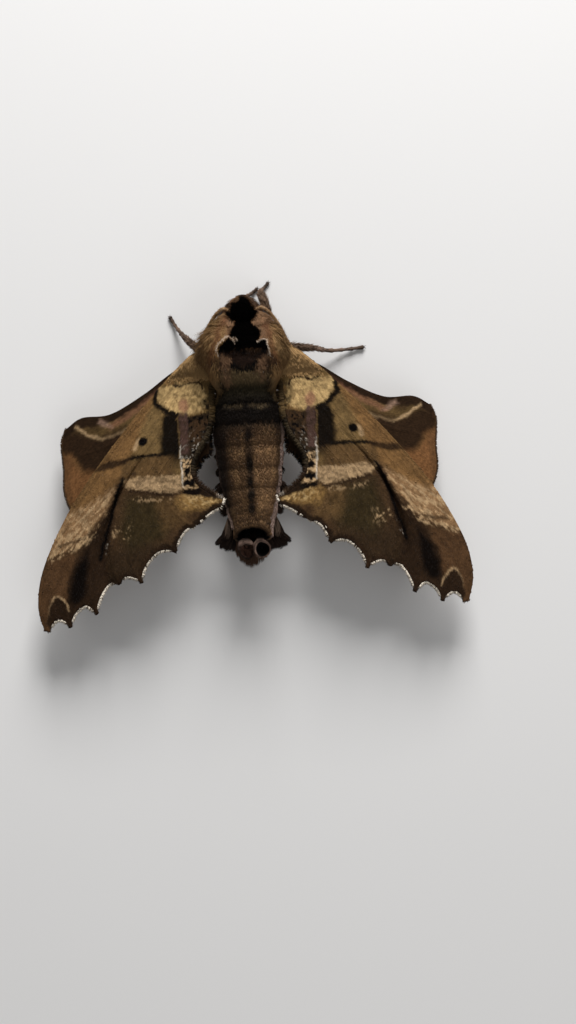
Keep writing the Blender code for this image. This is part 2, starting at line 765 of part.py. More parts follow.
def main():
    clear_scene()
    materials = {name: make_material(name) for name in COLOURS}
    nodes = []

    def add(obj, material, origin):
        finish_node(obj, materials[material], origin)
        nodes.append(obj)

    add(make_head(), "black_crest", (0, 16.0, 6.4))
    add(make_thorax(), "thorax_scales", (0, 11.6, 6.9))
    add(make_abdomen(), "abdomen_scales", (0, 7.1, 6.5))
    corners = [FOREWING_COSTA[-1], *FOREWING_TEETH, FOREWING_DORSUM[-1]]
    margin = margin_lines(corners, FOREWING_VEIN_STEPS, rounded=False)
    forewing = wing_grid(FOREWING_COSTA, FOREWING_DORSUM, margin, WING_ROWS)
    corners = [HINDWING_COSTA[-1], *HINDWING_MARGIN, HINDWING_DORSUM[-1]]
    margin = margin_lines(corners, HINDWING_VEIN_STEPS, rounded=True)
    hindwing = wing_grid(HINDWING_COSTA, HINDWING_DORSUM, margin, HINDWING_ROWS)
    for label, side in (("left", -1), ("right", 1)):
        flip = mirrored if side < 0 else list
        add(make_eye(f"eye_{label}", side), "eye", (side * EYE_CENTRE.x, *EYE_CENTRE.yz))
        add(make_grown(f"antenna_{label}", flip(ANTENNA), HEAD, HEAD_SIDES, ANTENNA_STEPS),
            "antenna_scales", flip(ANTENNA)[0][:3])
        add(make_grown(f"palp_{label}", flip(PALP), HEAD, HEAD_SIDES, 3),
            "shoulder_scales", flip(PALP)[0][:3])
        add(make_tegula(f"tegula_{label}", side), "shoulder_scales", (side * 4.0, 13.0, 10.0))
        sweep = FOREWING_SWEEP[label]
        wing = make_wing(f"forewing_{label}", side, forewing, forewing_height, sweep)
        boolean(wing, hollow_cutters(side, sweep), "DIFFERENCE")
        add(wing, "forewing_scales", (side * HINGE.x, HINGE.y, HINGE_HEIGHT))
        add(make_wing(f"hindwing_{label}", side, hindwing, hindwing_height, HINDWING_SWEEP[label]),
            "hindwing_scales", (side * HINGE.x, 9.2, HINGE_HEIGHT - HINDWING_DROP))
        for pair in ("foreleg", "midleg", "hindleg"):
            name = f"{pair}_{label}"
            add(make_leg(name), "leg_scales", LEGS[name][0][:3])
        clasper = tube(f"clasper_{label}", flip(CLASPER), 3)
        add(clasper, "clasper_scales", flip(CLASPER)[0][:3])
        add(make_tuft_group(f"tail_tuft_{label}", side, TAIL_TUFT, TAIL_BRUSH), "dark_scales",
            (side * 2.9, -9.6, 5.4))
    add(make_tuft_group("tail_brush", 1, TAIL_BRUSH), "clasper_scales", (0, -10.8, 5.0))

    root = bpy.data.objects.new("moth", None)
    bpy.context.scene.collection.objects.link(root)
    moth = bpy.data.collections.new("moth")
    bpy.context.scene.collection.children.link(moth)
    for obj in nodes:
        bpy.context.scene.collection.objects.unlink(obj)
        moth.objects.link(obj)
        obj.parent = root
    root.location = -middle_of_footprint(nodes)


main()
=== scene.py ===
import math

import bpy
import numpy as np
from mathutils import Matrix, Vector
from mathutils.bvhtree import BVHTree
from mathutils.kdtree import KDTree


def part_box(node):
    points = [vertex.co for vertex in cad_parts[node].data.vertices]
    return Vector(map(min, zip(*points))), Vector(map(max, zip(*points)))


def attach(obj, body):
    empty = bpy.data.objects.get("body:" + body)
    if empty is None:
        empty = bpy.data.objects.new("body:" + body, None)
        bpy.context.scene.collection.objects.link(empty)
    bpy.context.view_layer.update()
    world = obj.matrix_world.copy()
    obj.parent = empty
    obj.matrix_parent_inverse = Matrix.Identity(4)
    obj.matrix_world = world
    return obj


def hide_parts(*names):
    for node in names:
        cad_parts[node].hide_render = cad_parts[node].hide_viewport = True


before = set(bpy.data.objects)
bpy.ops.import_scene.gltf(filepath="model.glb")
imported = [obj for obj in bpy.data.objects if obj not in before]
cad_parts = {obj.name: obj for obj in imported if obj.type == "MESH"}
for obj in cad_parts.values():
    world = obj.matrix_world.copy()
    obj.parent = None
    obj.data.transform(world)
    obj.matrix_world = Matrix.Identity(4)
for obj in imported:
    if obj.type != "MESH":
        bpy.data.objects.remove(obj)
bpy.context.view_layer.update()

# The setting: a pale floor lies level under the moth, lit by a large soft lamp ahead of its head
# and a weaker one behind. The camera looks straight down from 190 mm, turned a little to one side.
# Every length below is in millimetres, from the point on the floor under the middle of the wings.
MM = 0.001
THORAX_FRONT = 15.7
CAMERA_PLACE = (4.55, -7.74, 190.0)
CAMERA_UP = Vector((0.0454, 0.99897, 0.0))
VIEW_LENGTH = 133.12  # length of floor that the picture's long side takes in
FLOOR_WIDTH = 900.0
LAMPS = {  # place, width, watts
    "lamp_ahead": ((60.0, 410.0, 225.0), 220.0, 3.7),
    "lamp_behind": ((160.0, -240.0, 300.0), 300.0, 0.25),
}
SKY = (0.98, 0.99, 1.0)
SKY_STRENGTH = 0.25

thorax_low, thorax_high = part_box("thorax")
ORIGIN = np.array([
    (thorax_low.x + thorax_high.x) / 2, thorax_high.y - THORAX_FRONT * MM, 0.0,
])


def placed(points):
    """Millimetres on the moth as metres in the frame."""
    return np.asarray(points, float) * MM + ORIGIN


def link(obj):
    bpy.context.scene.collection.objects.link(obj)
    return obj


def aimed(obj, place, target, up):
    """Stands a camera or lamp at a place, looking at a target."""
    at = Vector(placed(place))
    back = (at - Vector(placed(target))).normalized()
    right = up.cross(back).normalized()
    turn = Matrix((right, back.cross(right), back)).transposed().to_4x4()
    turn.translation = at
    obj.matrix_world = turn


camera = bpy.data.cameras.new("camera")
camera.angle = 2 * math.atan(VIEW_LENGTH / 2 / CAMERA_PLACE[2])
camera.clip_start = 0.005
camera_stand = link(bpy.data.objects.new("camera", camera))
aimed(camera_stand, CAMERA_PLACE, (*CAMERA_PLACE[:2], 0.0), CAMERA_UP)
bpy.context.scene.camera = camera_stand

for name, (place, width, watts) in LAMPS.items():
    lamp = bpy.data.lights.new(name, "AREA")
    lamp.size = width * MM
    lamp.energy = watts
    aimed(link(bpy.data.objects.new(name, lamp)), place, (0.0, 0.0, 5.0), Vector((0, 0, 1)))

world = bpy.data.worlds.new("studio")
world.use_nodes = True
world.node_tree.nodes["Background"].inputs["Color"].default_value = (*SKY, 1.0)
world.node_tree.nodes["Background"].inputs["Strength"].default_value = SKY_STRENGTH
bpy.context.scene.world = world
bpy.context.scene.view_settings.view_transform = "Standard"

floor_mesh = bpy.data.meshes.new("floor")
half = FLOOR_WIDTH / 2
floor_mesh.from_pydata(
    placed([(-half, -half, 0), (half, -half, 0), (half, half, 0), (-half, half, 0)]).tolist(),
    [], [(0, 1, 2, 3)],
)
floor = link(bpy.data.objects.new("floor", floor_mesh))
floor_paint = bpy.data.materials.new("pale_floor")
floor_paint.use_nodes = True
floor_shader = floor_paint.node_tree.nodes["Principled BSDF"]
floor_shader.inputs["Base Color"].default_value = (0.68, 0.67, 0.66, 1.0)
floor_shader.inputs["Roughness"].default_value = 0.7
floor_mesh.materials.append(floor_paint)


# The skin: one soft shell over head, thorax, shoulder plates and abdomen, as deep under the
# solids as the coat is thick. It is thin chitin, ringed at the abdomen, and hollow at the tail.
SPINE = (  # y, height and lean in degrees of the body's middle, from the face to the tail
    (19.62, 6.15, 0), (18.5, 6.3, 0), (17.0, 6.4, 0), (15.0, 6.7, 0), (12.4, 6.9, 0),
    (8.1, 6.6, 0), (5.2, 6.4, 0), (1.0, 6.05, 0), (-3.1, 5.95, 0), (-4.4, 6.0, 2),
    (-5.6, 6.1, 6), (-6.7, 6.3, 13), (-7.6, 6.55, 22), (-8.4, 6.85, 33), (-9.2, 7.05, 42),
    (-9.9, 7.3, 50),
)
STATIONS = 230
SKIN_SIDES = 120
SKIN_REACH = 12.0
COAT_DEPTH = ((20.0, 0.30), (17.5, 0.30), (16.0, 0.20), (12.0, 0.18), (8.5, 0.25), (7.6, 0.3),
              (6.6, 0.14), (-9.0, 0.10), (-10.2, 0.05))
WAIST = (7.2, 6.4)  # y from which the rings of the abdomen show, and where they show in full
FLANK = (-42.0, 8.0)  # degrees below and above the side within which tufts stand on the solid
RIM_FOLDS = ((6.0, 0.42), (175.0, 0.26))  # place in degrees and rise of each flank's pale fold
RIM_SPREAD = 4.5
RIM_FADE = (5.0, 3.0)  # y from which the folds rise, and where they stand in full
FACE_BULGE = (0.0, 0.12, 0.0)
HOOD = (0.0, -1.0, 0.1)  # how far the last ring's upper half reaches back over the hollow
HOOD_START = (-0.9, 0.1)  # sine of the turns between which the hood grows from nothing
HOOD_RINGS = 7
TAIL_CUP = ((-0.05, 0.82), (0.25, 0.72), (0.9, 0.66), (1.25, 0.4))  # depth, share of the rim
CUP_MOUTH = 0.75  # share of the rim above which the hollow's wall follows the hood


def unit(vectors):
    return vectors / np.maximum(np.linalg.norm(vectors, axis=-1, keepdims=True), 1e-9)


def ease(low, high, values):
    """0 below low, 1 above high, and smooth between."""
    share = np.clip((values - low) / (high - low), 0.0, 1.0)
    return share * share * (3 - 2 * share)


def softened(values, passes, axis, wrap):
    """Each value averaged with its neighbours along one axis."""
    for _ in range(passes):
        if wrap:
            before, after = np.roll(values, 1, axis), np.roll(values, -1, axis)
        else:
            edge = np.take(values, [0], axis), np.take(values, [-1], axis)
            body = np.concatenate([edge[0], values, edge[1]], axis)
            before = np.take(body, range(values.shape[axis]), axis)
            after = np.take(body, range(2, values.shape[axis] + 2), axis)
        values = values * 0.5 + (before + after) * 0.25
    return values


def tree_of(nodes):
    """A search tree over the solids of some nodes, in millimetres on the moth."""
    points, faces = [], []
    for node in nodes:
        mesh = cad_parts[node].data
        first = len(points)
        points += [(np.array(v.co) - ORIGIN) / MM for v in mesh.vertices]
        faces += [[first + i for i in f.vertices] for f in mesh.polygons]
    return BVHTree.FromPolygons(points, faces)


BODY_NODES = ("head", "thorax", "abdomen", "tegula_left", "tegula_right")
spine = np.array(SPINE, float)
travelled = np.concatenate([[0], np.cumsum(np.hypot(*np.diff(spine[:, :2], axis=0).T))])
stations = np.linspace(0, travelled[-1], STATIONS)
mid_y, mid_z, lean = (np.interp(stations, travelled, spine[:, k]) for k in range(3))
turns = np.arange(SKIN_SIDES) * 2 * math.pi / SKIN_SIDES
degrees = np.degrees(turns)
lean_turn = np.radians(lean)
section_up = np.stack([np.zeros(STATIONS), np.sin(lean_turn), np.cos(lean_turn)], 1)
centres = np.stack([np.zeros(STATIONS), mid_y, mid_z], 1)
spokes = (
    np.cos(turns)[None, :, None] * np.array([1.0, 0, 0]) + np.sin(turns)[None, :, None]
    * section_up[:, None, :]
)


def reach_of_solids():
    """How far the body's solids reach from its middle along every spoke. A spoke that meets
    none takes its reach from the stations beside it."""
    solids = tree_of(BODY_NODES)
    reach = np.full((STATIONS, SKIN_SIDES), np.nan)
    for i, j in np.ndindex(STATIONS, SKIN_SIDES):
        start = Vector(centres[i] + spokes[i, j] * SKIN_REACH)
        hit = solids.ray_cast(start, Vector(-spokes[i, j]), SKIN_REACH)
        if hit[0] is not None:
            reach[i, j] = SKIN_REACH - hit[3]
    for j in range(SKIN_SIDES):
        known = ~np.isnan(reach[:, j])
        reach[:, j] = np.interp(stations, stations[known], reach[known, j])
    return reach


def without_flank_tufts(reach):
    """The same reach, bridged along the abdomen over the tufts that stand on its flanks."""
    bridged = reach.copy()
    for side_angle in (degrees - 360 * (degrees > 180), 180 - degrees):  # right flank, left flank
        order = np.argsort(side_angle)
        angle = side_angle[order]
        flank = (angle > FLANK[0]) & (angle < FLANK[1])
        for i in np.nonzero(mid_y < WAIST[1])[0]:
            row = bridged[i, order]
            row[flank] = np.interp(angle[flank], angle[~flank], row[~flank])
            bridged[i, order] = row
    return bridged


def shell_radii():
    """The skin's radii: the solids' reach, smooth at the plates and ringed at the abdomen, less
    the depth of the coat, with a fold standing up along each flank."""
    reach = without_flank_tufts(reach_of_solids())
    plates = softened(softened(reach, 5, 0, False), 3, 1, True)
    rings = softened(softened(reach, 3, 0, False), 2, 1, True)
    ringed = ease(*WAIST, mid_y)[:, None]
    depth = np.interp(-mid_y, [-d[0] for d in COAT_DEPTH], [d[1] for d in COAT_DEPTH])[:, None]
    shell = plates * (1 - ringed) + rings * ringed - depth
    raised = ease(*RIM_FADE, mid_y)[:, None]
    for fold_turn, rise in RIM_FOLDS:
        away = np.abs(np.mod(degrees - fold_turn + 180, 360) - 180)
        shell = shell + rise * np.exp(-((away / RIM_SPREAD) ** 2)) * raised
    return shell


radii = shell_radii()
skin = centres[:, None, :] + spokes * radii[..., None]


def add_mesh(name, points, polygons, colours, lies=None, patches=None):
    """A new piece in the frame. polygons is a list of arrays of corners, of 3 or 4 columns;
    colours has one row a point, lies its place on the scale rows, patches one row a corner."""
    mesh = bpy.data.meshes.new(name)
    places = placed(points)
    mesh.vertices.add(len(places))
    mesh.vertices.foreach_set("co", places.ravel())
    corners = np.concatenate([p.ravel() for p in polygons])
    sizes = np.concatenate([np.full(len(p), p.shape[1]) for p in polygons])
    mesh.loops.add(len(corners))
    mesh.loops.foreach_set("vertex_index", corners)
    mesh.polygons.add(len(sizes))
    mesh.polygons.foreach_set("loop_start", np.concatenate([[0], np.cumsum(sizes)[:-1]]))
    mesh.update(calc_edges=True)
    mesh.shade_smooth()
    marks = mesh.color_attributes.new("markings", "FLOAT_COLOR", "POINT")
    marks.data.foreach_set("color", np.column_stack([colours, np.ones(len(colours))]).ravel())
    if lies is not None:
        rows = mesh.attributes.new("scale_rows", "FLOAT_VECTOR", "POINT")
        rows.data.foreach_set("vector", np.asarray(lies, float).ravel())
    if patches is not None:
        chart = mesh.uv_layers.new(name="OFBake")
        chart.data.foreach_set("uv", patches[corners].ravel())
    return link(bpy.data.objects.new(name, mesh))


def ring_faces(rows, sides, first=0):
    """The quads between rings of points that follow one another."""
    i, j = np.meshgrid(np.arange(rows - 1), np.arange(sides), indexing="ij")
    k = (j + 1) % sides
    quads = np.stack([i * sides + j, (i + 1) * sides + j, (i + 1) * sides + k, i * sides + k], -1)
    return quads.reshape(-1, 4)[:, ::-1] + first


def closed_rings(rings, front, back):
    """Points and faces of rings closed by a point at each end."""
    rows, sides = rings.shape[:2]
    points = np.concatenate([rings.reshape(-1, 3), [front], [back]])
    around = np.arange(sides)
    after = (around + 1) % sides
    last = (rows - 1) * sides
    nose = np.stack([np.full(sides, rows * sides), around, after], 1)
    tail = np.stack([np.full(sides, rows * sides + 1), last + after, last + around], 1)
    return points, [ring_faces(rows, sides), np.concatenate([nose, tail])]


def pigment(red, green, blue):
    """A colour as a paint chart gives it, from 0 to 255, as linear reflectance."""
    return np.array([(value / 255) ** 2.2 for value in (red, green, blue)])


hood_reach = ease(*HOOD_START, np.sin(turns))[:, None] * np.array(HOOD)
hood_rings = [skin[-1] + hood_reach * (k + 1) / HOOD_RINGS for k in range(HOOD_RINGS)]
skin = np.concatenate([skin, hood_rings])
cup_rings = [
    centres[-1] + spokes[-1] * (radii[-1] * share)[:, None] + hood_reach * (share > CUP_MOUTH)
    + np.cross(section_up[-1], (1.0, 0, 0)) * depth_in
    for depth_in, share in TAIL_CUP
]
skin_points, skin_faces = closed_rings(
    np.concatenate([skin, cup_rings]), centres[0] + FACE_BULGE, cup_rings[-1].mean(axis=0),
)


def cloud(points, size, seed, octaves=3):
    """Soft random cover over a plane or a space, from about -1 to 1, with spots about as wide
    as size, which may differ from axis to axis."""
    table = np.random.default_rng(seed).uniform(-1, 1, 4096)
    total, weight = np.zeros(len(points)), 1.0
    places = points / np.asarray(size, float)
    primes = np.array([1619, 31337, 6971])[: places.shape[1]]
    for octave in range(octaves):
        cell = np.floor(places).astype(np.int64)
        share = places - cell
        share = share * share * (3 - 2 * share)
        value = np.zeros(len(points))
        for corner in np.ndindex(*(2,) * places.shape[1]):
            step = np.array(corner)
            part = np.prod(np.where(step, share, 1 - share), axis=1)
            value += part * table[((cell + step) @ primes + 101 * octave) % len(table)]
        total += value * weight
        weight *= 0.55
        places = places * 2.03 + 17.7
    return total


def smooth_path(points, steps=10):
    """A smooth line through the given points."""
    points = np.asarray(points, float)
    padded = np.concatenate([[2 * points[0] - points[1]], points, [2 * points[-1] - points[-2]]])
    t = (np.arange(steps) / steps)[:, None]
    parts = [
        0.5 * (2 * b + (c - a) * t + (2 * a - 5 * b + 4 * c - d) * t**2
               + (3 * b - a - 3 * c + d) * t**3)
        for a, b, c, d in zip(padded, padded[1:], padded[2:], padded[3:])
    ]
    return np.concatenate([*parts, points[-1:]])


def nearest_on(points, path):
    """Distance of each point from a line of straight pieces, and the nearest place on it."""
    distance, place = np.full(len(points), 1e9), np.zeros_like(points)
    for a, b in zip(path, path[1:]):
        span = b - a
        share = np.clip((points - a) @ span / max(span @ span, 1e-12), 0, 1)
        spot = a + share[:, None] * span
        away = np.linalg.norm(points - spot, axis=1)
        closer = away < distance
        distance[closer], place[closer] = away[closer], spot[closer]
    return distance, place


def within(points, outline):
    """Whether each point of the plane lies inside a closed outline."""
    found = np.zeros(len(points), bool)
    x, y = points[:, 0], points[:, 1]
    for (ax, ay), (bx, by) in zip(outline, np.roll(outline, -1, axis=0)):
        if ay != by:
            found ^= ((ay > y) != (by > y)) & (x < (bx - ax) * (y - ay) / (by - ay) + ax)
    return found


def stripe(points, path, width, blur=0.12):
    """1 on a painted line and 0 beside it."""
    distance, _ = nearest_on(points, smooth_path(path))
    return 1 - ease(width / 2 - blur, width / 2 + blur, distance)


def patch(points, outline, blur=0.2):
    """1 inside a painted outline with soft edges, 0 outside."""
    outline = np.asarray(outline, float)
    distance, _ = nearest_on(points, np.concatenate([outline, outline[:1]]))
    signed = np.where(within(points, outline), -distance, distance)
    return 1 - ease(-blur, blur, signed)


def tint(colours, cover, colour):
    """Lays a colour over others where cover is 1."""
    cover = np.clip(cover, 0, 1)[:, None]
    return colours * (1 - cover) + colour * cover


BODY_PIGMENTS = {
    "tan": pigment(116, 89, 59), "pale tan": pigment(138, 110, 75), "rust": pigment(84, 53, 35),
    "pinkish": pigment(104, 76, 60), "black": pigment(8, 6, 5), "umber": pigment(38, 27, 21),
    "olive": pigment(44, 39, 28), "band": pigment(23, 18, 14), "abdomen": pigment(82, 62, 44),
    "pale abdomen": pigment(108, 83, 58), "flank": pigment(36, 27, 21),
    "arc": pigment(78, 66, 50), "under": pigment(96, 76, 60), "cream": pigment(196, 176, 156),
    "lilac": pigment(128, 108, 98), "grey": pigment(112, 85, 64), "hair grey": pigment(97, 81, 58),
}
HEAD_STRIPE = (
    (-0.75, 19.3), (-0.2, 19.65), (0.5, 19.5), (1.05, 18.7), (1.5, 17.9), (1.75, 17.2),
    (1.45, 16.65), (0.98, 16.45), (1.3, 15.9), (1.6, 15.5), (2.2, 14.8), (2.2, 14.3),
    (1.72, 13.65), (2.5, 13.7), (2.85, 13.2), (3.0, 12.3), (1.5, 11.9), (0.0, 11.9),
    (-2.0, 11.9), (-3.15, 12.3), (-2.6, 13.5), (-1.8, 14.2), (-1.0, 13.7), (-1.55, 14.5),
    (-1.3, 15.4), (-0.85, 16.55), (-1.75, 16.8), (-1.9, 17.2), (-1.55, 17.9), (-1.15, 18.7),
)
BRACKETS = (
    ((-3.2, 12.2), (-3.25, 12.65), (-2.98, 13.3), (-2.45, 13.95), (-1.75, 14.32), (-1.4, 14.1),
     (-1.15, 13.7), (-0.98, 13.45)),
    ((-1.35, 14.2), (-1.0, 14.0), (-0.72, 13.75)),
    ((1.7, 13.4), (2.15, 13.65), (2.8, 13.6), (2.9, 13.15), (3.15, 12.3), (3.25, 11.8)),
)
BACK_TUFTS = (
    ("grey", ((-2.9, 12.2), (-1.6, 12.1), (-1.45, 11.2), (-2.0, 10.8), (-2.9, 10.8))),
    ("grey", ((1.5, 11.5), (2.85, 12.0), (2.85, 10.7), (1.5, 10.5))),
    ("grey", ((-2.9, 10.7), (-1.9, 10.6), (-1.8, 9.4), (-2.4, 8.5), (-2.9, 9.0))),
    ("grey", ((1.9, 10.4), (2.7, 10.6), (2.7, 9.5), (2.1, 9.5))),
)
FURROWS = (((-3.7, 11.9), (-3.35, 11.0), (-3.25, 9.6), (-3.2, 8.4)),
           ((3.6, 11.9), (3.3, 10.9), (3.2, 9.6), (3.1, 8.6)))
STRIPE_EDGES = (
    ((-1.0, 16.7), (-1.9, 16.9), (-1.9, 15.9), (-1.8, 14.9), (-1.2, 14.7)),
    ((1.1, 16.8), (2.0, 16.6), (2.3, 15.4), (2.7, 14.2), (2.0, 14.3)),
)
RUST_LINES = (
    ((-2.1, 16.6), (-3.0, 15.1), (-3.0, 14.2), (-3.55, 13.2), (-3.75, 11.6)),
    ((2.6, 15.7), (3.05, 14.9), (3.25, 13.7), (3.55, 12.2), (3.6, 11.4)),
)
BACK_ARC = ((-1.5, 11.3), (-0.8, 10.95), (0.0, 10.75), (0.6, 10.85), (1.4, 11.25))
MEDIAN_LINE = ((0.12, 3.5), (0.12, -7.6))
TAIL_ARCS = (
    ((-3.1, -8.8), (-2.0, -8.1), (-0.2, -7.85), (1.8, -8.25), (2.8, -9.0)),
    ((-2.35, -10.1), (-1.9, -8.95), (-0.25, -8.5), (1.6, -9.0), (2.2, -10.3)),
)
RING_LINES = (3.7, 1.0, -1.8, -4.4, -6.7, -8.4)
MEDIAN_SPOTS = ((2.2, 1.0), (-1.4, 1.3), (-3.6, 0.8), (-5.3, 0.9), (-6.9, 0.6))
UPPER_SIDE = (5.6, 7.2)  # heights between which the markings of the back begin
UNDERSIDE = (2.8, 4.6)  # heights between which the plain underside ends
ABDOMEN_START = (6.5, 7.5)  # y between which the abdomen's markings give way to the thorax's


def front_colours(points, plan, seed):
    """The markings of the head and thorax. plan is the points' place from above, ragged."""
    tones = BODY_PIGMENTS
    x, y, z = points.T
    out = np.abs(x)
    above = ease(*UPPER_SIDE, z)
    found = np.tile(tones["tan"], (len(points), 1))
    found = tint(found, 0.7 * ease(0.1, 0.9, cloud(points, (0.7, 2.2, 0.7), seed + 2)),
                 tones["pale tan"])
    warm = (1 - ease(2.2, 3.0, np.abs(x - 0.5))) * ease(9, 12, y)
    found = tint(found, 0.6 * warm, tones["pinkish"])
    grey_edge = patch(plan, STRIPE_EDGES[0], 0.15) + patch(plan, STRIPE_EDGES[1], 0.15)
    found = tint(found, 0.7 * grey_edge * above, tones["grey"] * 0.85)
    found = tint(found, 0.7 * ease(10.2, 8.8, y) * ease(2.9, 3.4, out), tones["hair grey"] * 0.8)
    for line in RUST_LINES:
        found = tint(found, 0.7 * above * stripe(plan, line, 0.5, 0.22), tones["rust"])
    back = (1 - ease(2.9, 3.4, out)) * above
    found = tint(found, back * (1 - ease(12.3, 13.1, y)), tones["umber"])
    found = tint(found, back * (1 - ease(10.3, 11.2, y)), tones["hair grey"])
    found = tint(found, back * (1 - ease(8.5, 10.0, y)), tones["olive"])
    found = tint(found, 0.8 * back * (1 - ease(7.0, 8.5, y)), tones["band"])
    for tone, outline in BACK_TUFTS:
        found = tint(found, 0.85 * above * patch(plan, outline, 0.25), tones[tone])
    for line in FURROWS:
        found = tint(found, 0.8 * above * stripe(plan, line, 0.4, 0.15), tones["umber"])
    found = tint(found, back * stripe(plan, BACK_ARC, 0.4, 0.15), tones["black"])
    snout = ease(17.9, 18.5, y) * ease(5.2, 6.2, z) * (1 - ease(1.6, 2.1, out))
    found = tint(found, 0.75 * snout, tones["umber"])
    ragged = ease(11.9, 12.7, y + 0.35 * cloud(points[:, :2], 0.3, seed + 6, 2))
    found = tint(found, above * ragged * patch(plan, HEAD_STRIPE, 0.12), tones["black"])
    found = tint(found, 0.8 * (1 - ease(0.3, 0.55, np.hypot(x + 0.75, y - 19.3))), tones["grey"])
    for line in BRACKETS:
        found = tint(found, 0.8 * above * stripe(plan, line, 0.1, 0.07), tones["cream"])
    return found


def trunk_colours(points, plan, seed):
    """The markings of the abdomen, with painted light on its right side and painted shade on its left
    side and under the tail. plan is the points' place from above, ragged.
    """
    tones = BODY_PIGMENTS
    x, y, z = points.T
    out = np.abs(x)
    above = ease(*UPPER_SIDE, z)
    trunk = np.tile(tones["abdomen"], (len(points), 1))
    trunk = tint(trunk, 0.8 * ease(-0.1, 0.8, cloud(points, (0.8, 1.2, 0.8), seed + 3)),
                 tones["pale abdomen"])
    # Painted light and shade, as if lit from the right: the right half is painted lighter, the dark
    # flank is set off-centre so that it reaches further in on the left, and the darkening ahead is
    # weaker on the right.
    lit_right_half = ease(0.3, 1.3, x)
    painted_light = 0.75 * lit_right_half * ease(3.2, 0.2, y) * ease(-8.5, -6.5, y)
    trunk = trunk * (1 + painted_light)[:, None]
    trunk = tint(trunk, ease(2.2, 3.9, np.abs(x - 0.6)), tones["flank"])
    trunk = tint(trunk, 0.65 * stripe(plan, MEDIAN_LINE, 0.85, 0.3) * above, tones["flank"])
    for spot, height in MEDIAN_SPOTS:
        reach = np.hypot((plan[:, 0] - 0.1) / 0.5, (plan[:, 1] - spot) / height)
        trunk = tint(trunk, 0.9 * (1 - ease(0.5, 1.2, reach)) * above, tones["band"])
    uneven = cloud(plan, 0.8, seed + 4)
    trunk = tint(trunk, (0.7 - 0.3 * lit_right_half) * ease(0.2, 3.2, y + 0.2 * uneven),
                 tones["flank"])
    trunk = tint(trunk, ease(2.8, 3.9, y + 0.3 * uneven), tones["band"])
    arc = 5.9 - 0.2 * (1 - np.abs(out - 1.5))
    trunk = tint(trunk, (0.65 + 0.3 * cloud(plan, 0.5, seed + 5)) *
                 (1 - ease(0.1, 0.5, np.abs(plan[:, 1] - arc))) *
                 (1 - ease(2.4, 3.2, out)) * ease(0.05, 0.5, out), tones["arc"])
    trunk = tint(trunk, 0.85 * (1 - ease(0.15, 0.4, np.abs(plan[:, 1] - 6.6))), tones["black"])
    for line in RING_LINES:
        beside = y - line
        trunk = tint(trunk, 0.1 * (1 - ease(0.0, 0.4, np.abs(beside - 0.2))), tones["flank"])
        trunk = tint(trunk, 0.1 * (1 - ease(0.0, 0.5, np.abs(beside + 0.4))), tones["arc"])
    for line in TAIL_ARCS:
        trunk = tint(trunk, 0.5 * above * stripe(plan, line, 0.24, 0.1), tones["pale abdomen"])
        trunk = tint(trunk, 0.45 * above * stripe(plan + (0.0, 0.28), line, 0.26, 0.12),
                     tones["flank"])
    # Painted shade: the lower half of the tail's end, over the hollow, is painted near black.
    low = 1 - ease(5.5, 7.5, z)
    trunk = tint(trunk, (1 - ease(-9.4, -8.6, y)) * low, tones["band"])
    # The pale fold along each flank is real. Its paint is full on the right and faint on the left
    # except near the tail, which is painted shade on the left side.
    fold_height = np.interp(-y, -mid_y, mid_z) + np.where(x > 0, 0.5, 0.3)
    on_fold = 1 - ease(0.25, 0.5, np.abs(z - fold_height))
    on_fold = on_fold * np.where(x > 0, 1.0, 0.15 + 0.65 * ease(-5.5, -8.0, y))
    return tint(trunk, on_fold * ease(5.2, 3.4, y) * (out > 2.4), tones["lilac"])


def body_colours(points, seed=1):
    """The markings of the body at points on it, the same for the skin and its coat."""
    plan = points[:, :2] + 0.13 * np.column_stack([
        cloud(points[:, :2], 0.45, seed), cloud(points[:, :2], 0.45, seed + 1),
    ])
    rear = (1 - ease(*ABDOMEN_START, points[:, 1]))[:, None]
    front = front_colours(points, plan, seed)
    found = front * (1 - rear) + trunk_colours(points, plan, seed) * rear
    return tint(found, 0.8 * (1 - ease(*UNDERSIDE, points[:, 2])), BODY_PIGMENTS["under"])


def new_group(name, inputs, outputs):
    """An empty shader node group with named sockets."""
    group = bpy.data.node_groups.new(name, "ShaderNodeTree")
    for label, kind, value in inputs:
        socket = group.interface.new_socket(label, in_out="INPUT", socket_type=kind)
        if value is not None:
            socket.default_value = value
    for label, kind in outputs:
        group.interface.new_socket(label, in_out="OUTPUT", socket_type=kind)
    return group, group.nodes.new("NodeGroupInput"), group.nodes.new("NodeGroupOutput")


